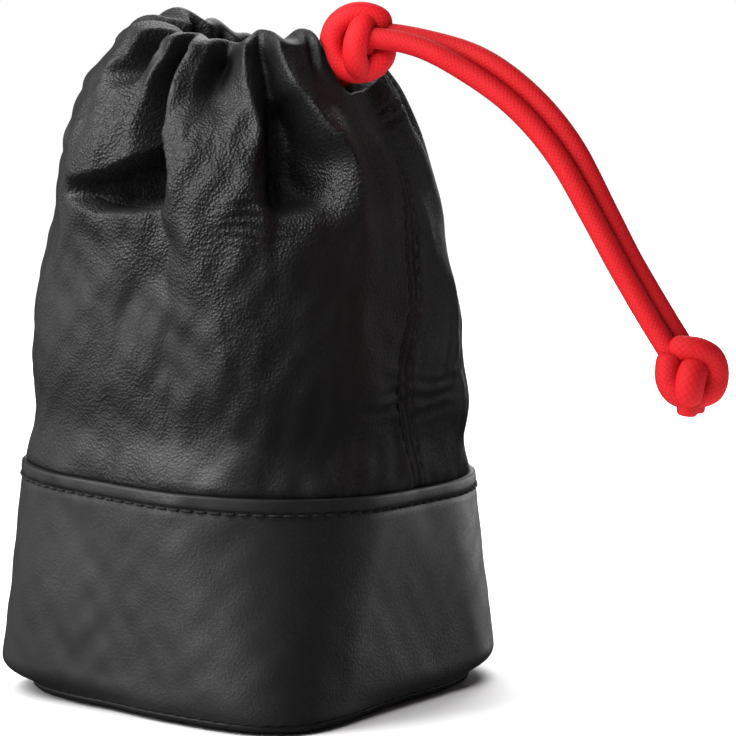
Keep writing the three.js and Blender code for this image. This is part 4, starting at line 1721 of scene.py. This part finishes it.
        out = unit(np.cross(point(0.6, 0) - point(-0.6, 0), point(0, 0.01) - point(0, -0.01)))
        middle = point(0, 0) + proud * out
        along = points_at(line, run, at + 0.8) - points_at(line, run, at - 0.8)
        along = unit(along - (along * out).sum(-1, keepdims=True) * out)
        row = StitchRow().surface(middle, along, out)
        return dress(name, [row], self.thread, Body.POUCH, "black_thread", node)

    def stitches(self) -> None:
        """Double row beside the side seam and the row under the casing."""
        share = np.linspace(self.seam_start, self.lining_level, 400)
        beside = np.degrees(self.row_spacing / 2 / SEAM_RADIUS)
        for side, end in ((-1, "front"), (1, "back")):
            azimuth = self.form.seam(share) + side * beside
            self.stitched(f"seam_stitches_{end}", azimuth, share, f"side_stitch_{end}", self.seam_proud)
        azimuth = np.linspace(0, 360, 1500)
        level = np.full_like(azimuth, self.casing_level)
        self.stitched("casing_stitches", azimuth, level, "casing_stitch", self.casing_proud)

    def build(self) -> None:
        """Make and dress the whole upper."""
        self.upper()
        self.lining()
        self.tape()
        self.stitches()


def back_lines() -> tuple[FoldLine, ...]:
    """Gathers of the sides that the viewer doesn't see: rounded ridges that rise towards the throat.

    Returns:
        The lines, in order round the pouch.
    """
    places = (
        (40, 2.6, 0.45), (53, 6.9, 0.5), (68, 1.6, 0.5), (83, 6.2, 0.5), (99, 0.9, 0.46), (114, 5.8, 0.42),
        (129, 0.7, 0.46), (144, 6.2, 0.5), (160, 0.9, 0.5), (175, 5.9, 0.46), (187, 2.2, 0.5),
        (198, 5.3, 0.52), (209, 2.9, 0.5),
    )
    steps = ((0.0, 0.0), (0.1, 0.16), (0.2, 0.5), (0.3, 0.84), (0.4, 0.96))
    lean, rim_lean, rim_part = 3, 2, 0.42
    lines = []
    for azimuth, height, start in places:
        rows = [(start + step, azimuth + lean * step, height * part) for step, part in steps]
        lines.append(FoldLine((*rows, (1.0, azimuth + rim_lean, height * rim_part))))
    return tuple(lines)


FRONT_LINES: tuple[FoldLine, ...] = (
    FoldLine((
        (0.5, -138, 0), (0.6, -138, 0), (0.7, -138, 1.6), (0.8, -138, 4.1), (0.86, -138, 6),
        (0.9, -139, 6.7), (0.95, -140, 4.9), (1, -140, 1),
    )),
    FoldLine((
        (0.4, -110, 0), (0.5, -110, 0.7), (0.58, -110, 1.8), (0.66, -110, 3.6), (0.75, -112, 5.3),
        (0.83, -117, 6.2), (0.88, -113, 6.6), (0.912, -109, 6.2), (0.932, -107, 5.6), (0.956, -104, 5),
        (0.985, -101, 4.2), (1, -100, 3.4),
    ), 0.3),
    FoldLine((
        (0.4, -101, 0), (0.5, -101, 0.9), (0.6, -101, 2.4), (0.68, -102, 4.2), (0.76, -103, 5),
        (0.83, -106, 5.2), (0.866, -105.5, 4.8), (0.882, -103.5, 2.2), (0.9, -101.5, -0.6),
        (0.932, -99, -2.4), (0.956, -97.3, -2.6), (0.985, -95.3, -2.4), (1, -94.5, -2.2),
    ), 0.5),
    FoldLine((
        (0.4, -97, 0), (0.5, -97, 0.8), (0.6, -97, 2), (0.7, -98, 3.4), (0.76, -98.5, 4.2),
        (0.83, -99, 4.8), (0.88, -98.5, 4), (0.912, -95.8, 3.6), (0.932, -94, 3.4), (0.956, -92, 3.4),
        (0.985, -90, 3.2), (1, -89, 2.8),
    ), 0.4),
    FoldLine((
        (0.2, -92, 0), (0.45, -92, 0.5), (0.55, -91, 1.3), (0.65, -91, 2.6), (0.72, -91, 3),
        (0.8, -91.5, 3.4), (0.868, -91.5, 4.2), (0.912, -89.5, 4.4), (0.948, -87.5, 4.2),
        (0.984, -84.8, 3.8), (1, -83.2, 3.2),
    ), 0.2),
    FoldLine((
        (0.02, -73, 0), (0.12, -73, -1.7), (0.3, -73, -2.1), (0.45, -73, -1.8), (0.55, -75, -1),
        (0.6, -77.5, -0.6), (0.65, -79, -1.6), (0.7, -80, -3), (0.748, -82, -4.6), (0.78, -83.5, -5),
        (0.856, -85, -4.4), (0.9, -84.5, -3), (0.93, -83.5, -2.2), (0.976, -80.5, -1.6), (1, -78.5, -1),
    ), 0.9),
    FoldLine((
        (0.12, -54, 0), (0.3, -56, 0.9), (0.4, -59, 1.4), (0.5, -63, 2.2), (0.6, -69.5, 3.4),
        (0.656, -73, 4.3), (0.732, -75, 4.9), (0.808, -76.5, 5.1), (0.88, -78, 5.2), (0.96, -76, 4.4),
        (1, -71.5, 3.4),
    ), 0.7),
    FoldLine((
        (0.12, -50, 0), (0.3, -52, 0.6), (0.6, -65, 3.2), (0.7, -69, 4.6), (0.78, -70.5, 4.9),
        (0.852, -71.5, 4.6), (0.9, -71.5, 4), (0.95, -69.5, 3.4), (1, -66, 3),
    )),
    FoldLine((
        (0.12, -46, 0), (0.3, -48, 0.3), (0.6, -58, 2.9), (0.7, -61, 4.2), (0.78, -63, 4.4),
        (0.83, -64, 3.4), (0.87, -65, 0.6), (0.91, -64.5, -1.6), (0.94, -63, -2.4), (0.965, -61.5, -2),
        (0.985, -60.5, 0.6), (1, -60, 2.2),
    )),
    FoldLine((
        (0.12, -42, 0), (0.4, -46, 0.3), (0.55, -48, 1.3), (0.65, -47, 2.4), (0.72, -46, 3.2),
        (0.792, -46.5, 4.2), (0.832, -48.5, 4.8), (0.892, -52.3, 5), (0.932, -52.6, 4.8),
        (0.97, -51.5, 4.4), (1, -50, 3.6),
    ), 0.6),
    FoldLine((
        (0.12, -38, 0), (0.4, -42, 0), (0.55, -43, -0.1), (0.6, -43, -1), (0.63, -43, -4),
        (0.66, -43, -6.6), (0.7, -42.5, -6.8), (0.74, -41.5, -6.4), (0.8, -39.5, -5), (0.864, -40.6, -3.6),
        (0.916, -43, -2.2), (0.952, -44.5, -1.8), (1, -45.5, -1.6),
    ), 0.4),
    FoldLine((
        (0.4, -34, 0), (0.55, -34, -0.1), (0.6, -33, -0.8), (0.63, -33, -3.4), (0.66, -32.5, -6),
        (0.7, -31.5, -6.4), (0.74, -31.5, -6), (0.8, -34.5, -4.8), (0.864, -38.4, -3.4),
        (0.916, -40.8, -1.8), (0.952, -42.6, -1.4), (1, -44, -1.2),
    ), 0.2),
    FoldLine((
        (0.42, -20, 0.4), (0.52, -17, 1.4), (0.6, -16.5, 2.5), (0.66, -17, 3.6), (0.72, -18.5, 4.8),
        (0.76, -21.5, 5.7), (0.8, -25.5, 6.5), (0.85, -31.5, 6.8), (0.9, -35.5, 6.4), (0.95, -38, 5.6),
        (1, -39.5, 4.2),
    ), 0.5),
    FoldLine(((0.45, -3, 0), (0.6, -3, 0.4), (0.7, -4, 1.2), (0.8, -9, 2.2), (0.9, -17, 3.4), (1, -24, 3))),
    FoldLine(((0.45, 9, 0), (0.6, 9, 0.3), (0.75, 9, 1), (0.85, 9, 1.6), (0.92, 10, 1.9), (1, 12, 1))),
    FoldLine((
        (0.42, 27, 0), (0.58, 27, 0), (0.7, 26, 0.9), (0.8, 26, 3.6), (0.87, 27, 5.2), (0.93, 28, 4.8),
        (1, 28, 3),
    )),
)
HOLLOWS: tuple[Hollow, ...] = (
    Hollow(-94.0, 10.0, (
        (-20, 0.612, 0.645, 0), (-12, 0.605, 0.655, 0.4), (-4, 0.605, 0.684, 0.75), (6, 0.61, 0.724, 1),
        (12, 0.614, 0.75, 0.9), (16, 0.62, 0.765, 0.5), (19, 0.62, 0.77, 0),
    )),
    Hollow(-40.0, 4.0, (
        (-9, 0.63, 0.7, 0), (-6, 0.62, 0.78, 0.5), (-2, 0.615, 0.85, 1), (2, 0.615, 0.85, 1),
        (6, 0.62, 0.82, 1), (10, 0.63, 0.785, 0.8), (13, 0.65, 0.75, 0.4), (16, 0.67, 0.71, 0),
    )),
)


def stand(made: bpy.types.Object, right: Array, back: Array, at: Array) -> None:
    """Link a camera or lamp and stand it at a point.

    Args:
        made: the camera or lamp.
        right: direction of its X axis.
        back: direction away from what it looks at.
        at: its place in metres.
    """
    pose = np.eye(4)
    pose[:3] = np.stack([right, np.cross(back, right), back, at], -1)
    made.matrix_world = Matrix(pose.tolist())
    bpy.context.scene.collection.objects.link(made)


def light_only(lamp: bpy.types.Object, pieces: Sequence[str]) -> None:
    """Let a lamp light these pieces alone.

    Args:
        lamp: the lamp.
        pieces: names of the pieces.
    """
    lit = bpy.data.collections.new(lamp.name + "_only")
    for piece in pieces:
        lit.objects.link(bpy.data.objects[piece])
    lamp.light_linking.receiver_collection = lit


# Pieces that the cord's own lamp lights.
CORDS = ("cord_tail_front", "cord_tail_back", "running_knot", "tail_knot", "tip_front", "tip_back")


@dataclass
class Studio:
    """Pale floor, soft lamps and the camera."""

    floor_size: float = 60.0
    floor_power: float = 3.8
    floor_softness: float = 70.0
    floor_tilt: Pair = (-10.0, -13.0)
    aim_height: float = 0.07
    camera_at: tuple[float, float, float] = (0.31804, -0.38581, 0.1075)
    pitch: float = 5.06
    focal_px: float = 2501.0
    frame_px: float = 736.0

    def camera(self) -> None:
        """Camera at the photograph's place, heading and focal length."""
        data = bpy.data.cameras.new("camera")
        data.sensor_width = 36.0
        data.lens = self.focal_px / self.frame_px * data.sensor_width
        data.clip_end = 200.0
        b, p = np.radians(PHOTO_HEADING), np.radians(self.pitch)
        right = np.array([np.cos(b), np.sin(b), 0.0])
        back = np.array([np.sin(b) * np.cos(p), -np.cos(b) * np.cos(p), np.sin(p)])
        made = bpy.data.objects.new("camera", data)
        stand(made, right, back, np.array(self.camera_at))
        bpy.context.scene.camera = made

    def floor(self) -> bpy.types.Object:
        """Plain pale floor, left out of glossy reflections.

        Returns:
            The floor.
        """
        half = self.floor_size / 2 / MM
        corners = np.array([[[-half, -half, 0], [half, -half, 0]], [[-half, half, 0], [half, half, 0]]])
        sheet = NodeSheet("pale_floor")
        speck = sheet.noise(sheet.place(), 900.0)
        white = sheet.blend(speck, (0.93, 0.93, 0.93, 1.0), (0.95, 0.95, 0.95, 1.0))
        finish = sheet.shade(Base_Color=white, Roughness=0.9, Specular_IOR_Level=0.0)
        made = make_object("floor", [Surface.grid(corners, (False, False))], finish)
        made.visible_glossy = False
        return made

    def lamp(
        self,
        name: str,
        azimuth: float,
        elevation: float,
        distance: float,
        size: float,
        power: float,
        *only: str,
    ) -> None:
        """Square soft lamp that faces the pouch.

        Args:
            name: name of the lamp.
            azimuth: azimuth of its place.
            elevation: elevation of its place.
            distance: metres from the pouch.
            size: metres across.
            power: watts.
            only: pieces that it lights, where it doesn't light them all.
        """
        data = bpy.data.lights.new(name, "AREA")
        data.size, data.energy = size, power
        made = bpy.data.objects.new(name, data)
        a, e = np.radians(azimuth), np.radians(elevation)
        back = np.array([np.cos(e) * np.cos(a), np.cos(e) * np.sin(a), np.sin(e)])
        right = unit(np.cross(np.array([0.0, 0.0, 1.0]), back))
        stand(made, right, back, back * distance + np.array([0, 0, self.aim_height]))
        if only:
            light_only(made, only)

    def floor_lamp(self, floor: bpy.types.Object) -> None:
        """Very soft overhead light for the floor alone, which keeps it white to the horizon.

        Args:
            floor: the floor.
        """
        data = bpy.data.lights.new("floor_light", "SUN")
        data.energy, data.angle = self.floor_power, np.radians(self.floor_softness)
        made = bpy.data.objects.new("floor_light", data)
        made.rotation_euler = (*np.radians(self.floor_tilt), 0)
        bpy.context.scene.collection.objects.link(made)
        light_only(made, [floor.name])

    def world(self) -> None:
        """White to the eye, dim grey as light."""
        sheet = NodeSheet("studio", "worlds")
        ray = sheet.node("ShaderNodeLightPath", output="Is Camera Ray")
        grey = sheet.node("ShaderNodeBackground", {}, {"Color": (0.011, 0.011, 0.0118, 1.0)})
        white = sheet.node("ShaderNodeBackground", {}, {"Color": (1.0, 1.0, 1.0, 1.0)})
        mix = sheet.node("ShaderNodeMixShader", {}, {0: ray, 1: grey, 2: white})
        sheet.node("ShaderNodeOutputWorld", {}, {"Surface": mix})
        bpy.context.scene.world = sheet.owner

    def build(self) -> None:
        """Set up the whole studio."""
        self.camera()
        self.floor_lamp(self.floor())
        for lamp in (
            ("key", -124, 46, 1.1, 0.5, 10.5),
            ("low_key", -122, 11, 1.1, 0.6, 4.2),
            ("front", -90, 46, 1.1, 0.5, 5.6, "sleeve_leather_upper"),
            ("left", -170, 10, 1.1, 0.6, 1.4),
            ("top", -80, 76, 1.1, 0.6, 1.0),
            ("back", 120, 42, 1.1, 0.6, 4.6),
            ("back_low", 120, 10, 1.1, 0.6, 2.4),
            ("side", 60, 8, 1.0, 0.4, 0.4),
            ("band_key", -112, 8, 1.1, 0.6, 4.5, "band_leather_wrap"),
            ("band_side", 74, 6, 0.9, 0.4, 4, "band_leather_wrap"),
            ("cord_key", -100, 35, 1.0, 0.5, 4.2, *CORDS),
            ("knot", -75, 30, 0.9, 0.4, 7, "running_knot"),
        ):
            self.lamp(*lamp)
        self.world()
        bpy.context.scene.view_settings.view_transform = "Standard"


def main() -> None:
    """Build the studio and every part of the pouch."""
    logging.basicConfig(level=logging.INFO, format="%(name)s: %(message)s")
    form = PouchForm(FoldChart(FRONT_LINES + back_lines(), HOLLOWS))
    Drawcord(form, RED_BRAID.material()).build()
    thread, cloth = BLACK_THREAD.material(), LINING_WEAVE.material()
    Base(form, SMOOTH_LEATHER.material(), thread, FOAM.material(), cloth, FIBRE_BOARD.material()).build()
    Sleeve(form, PEBBLED_LEATHER.material(), thread, cloth).build()
    Studio().build()


if __name__ == "__main__":
    main()
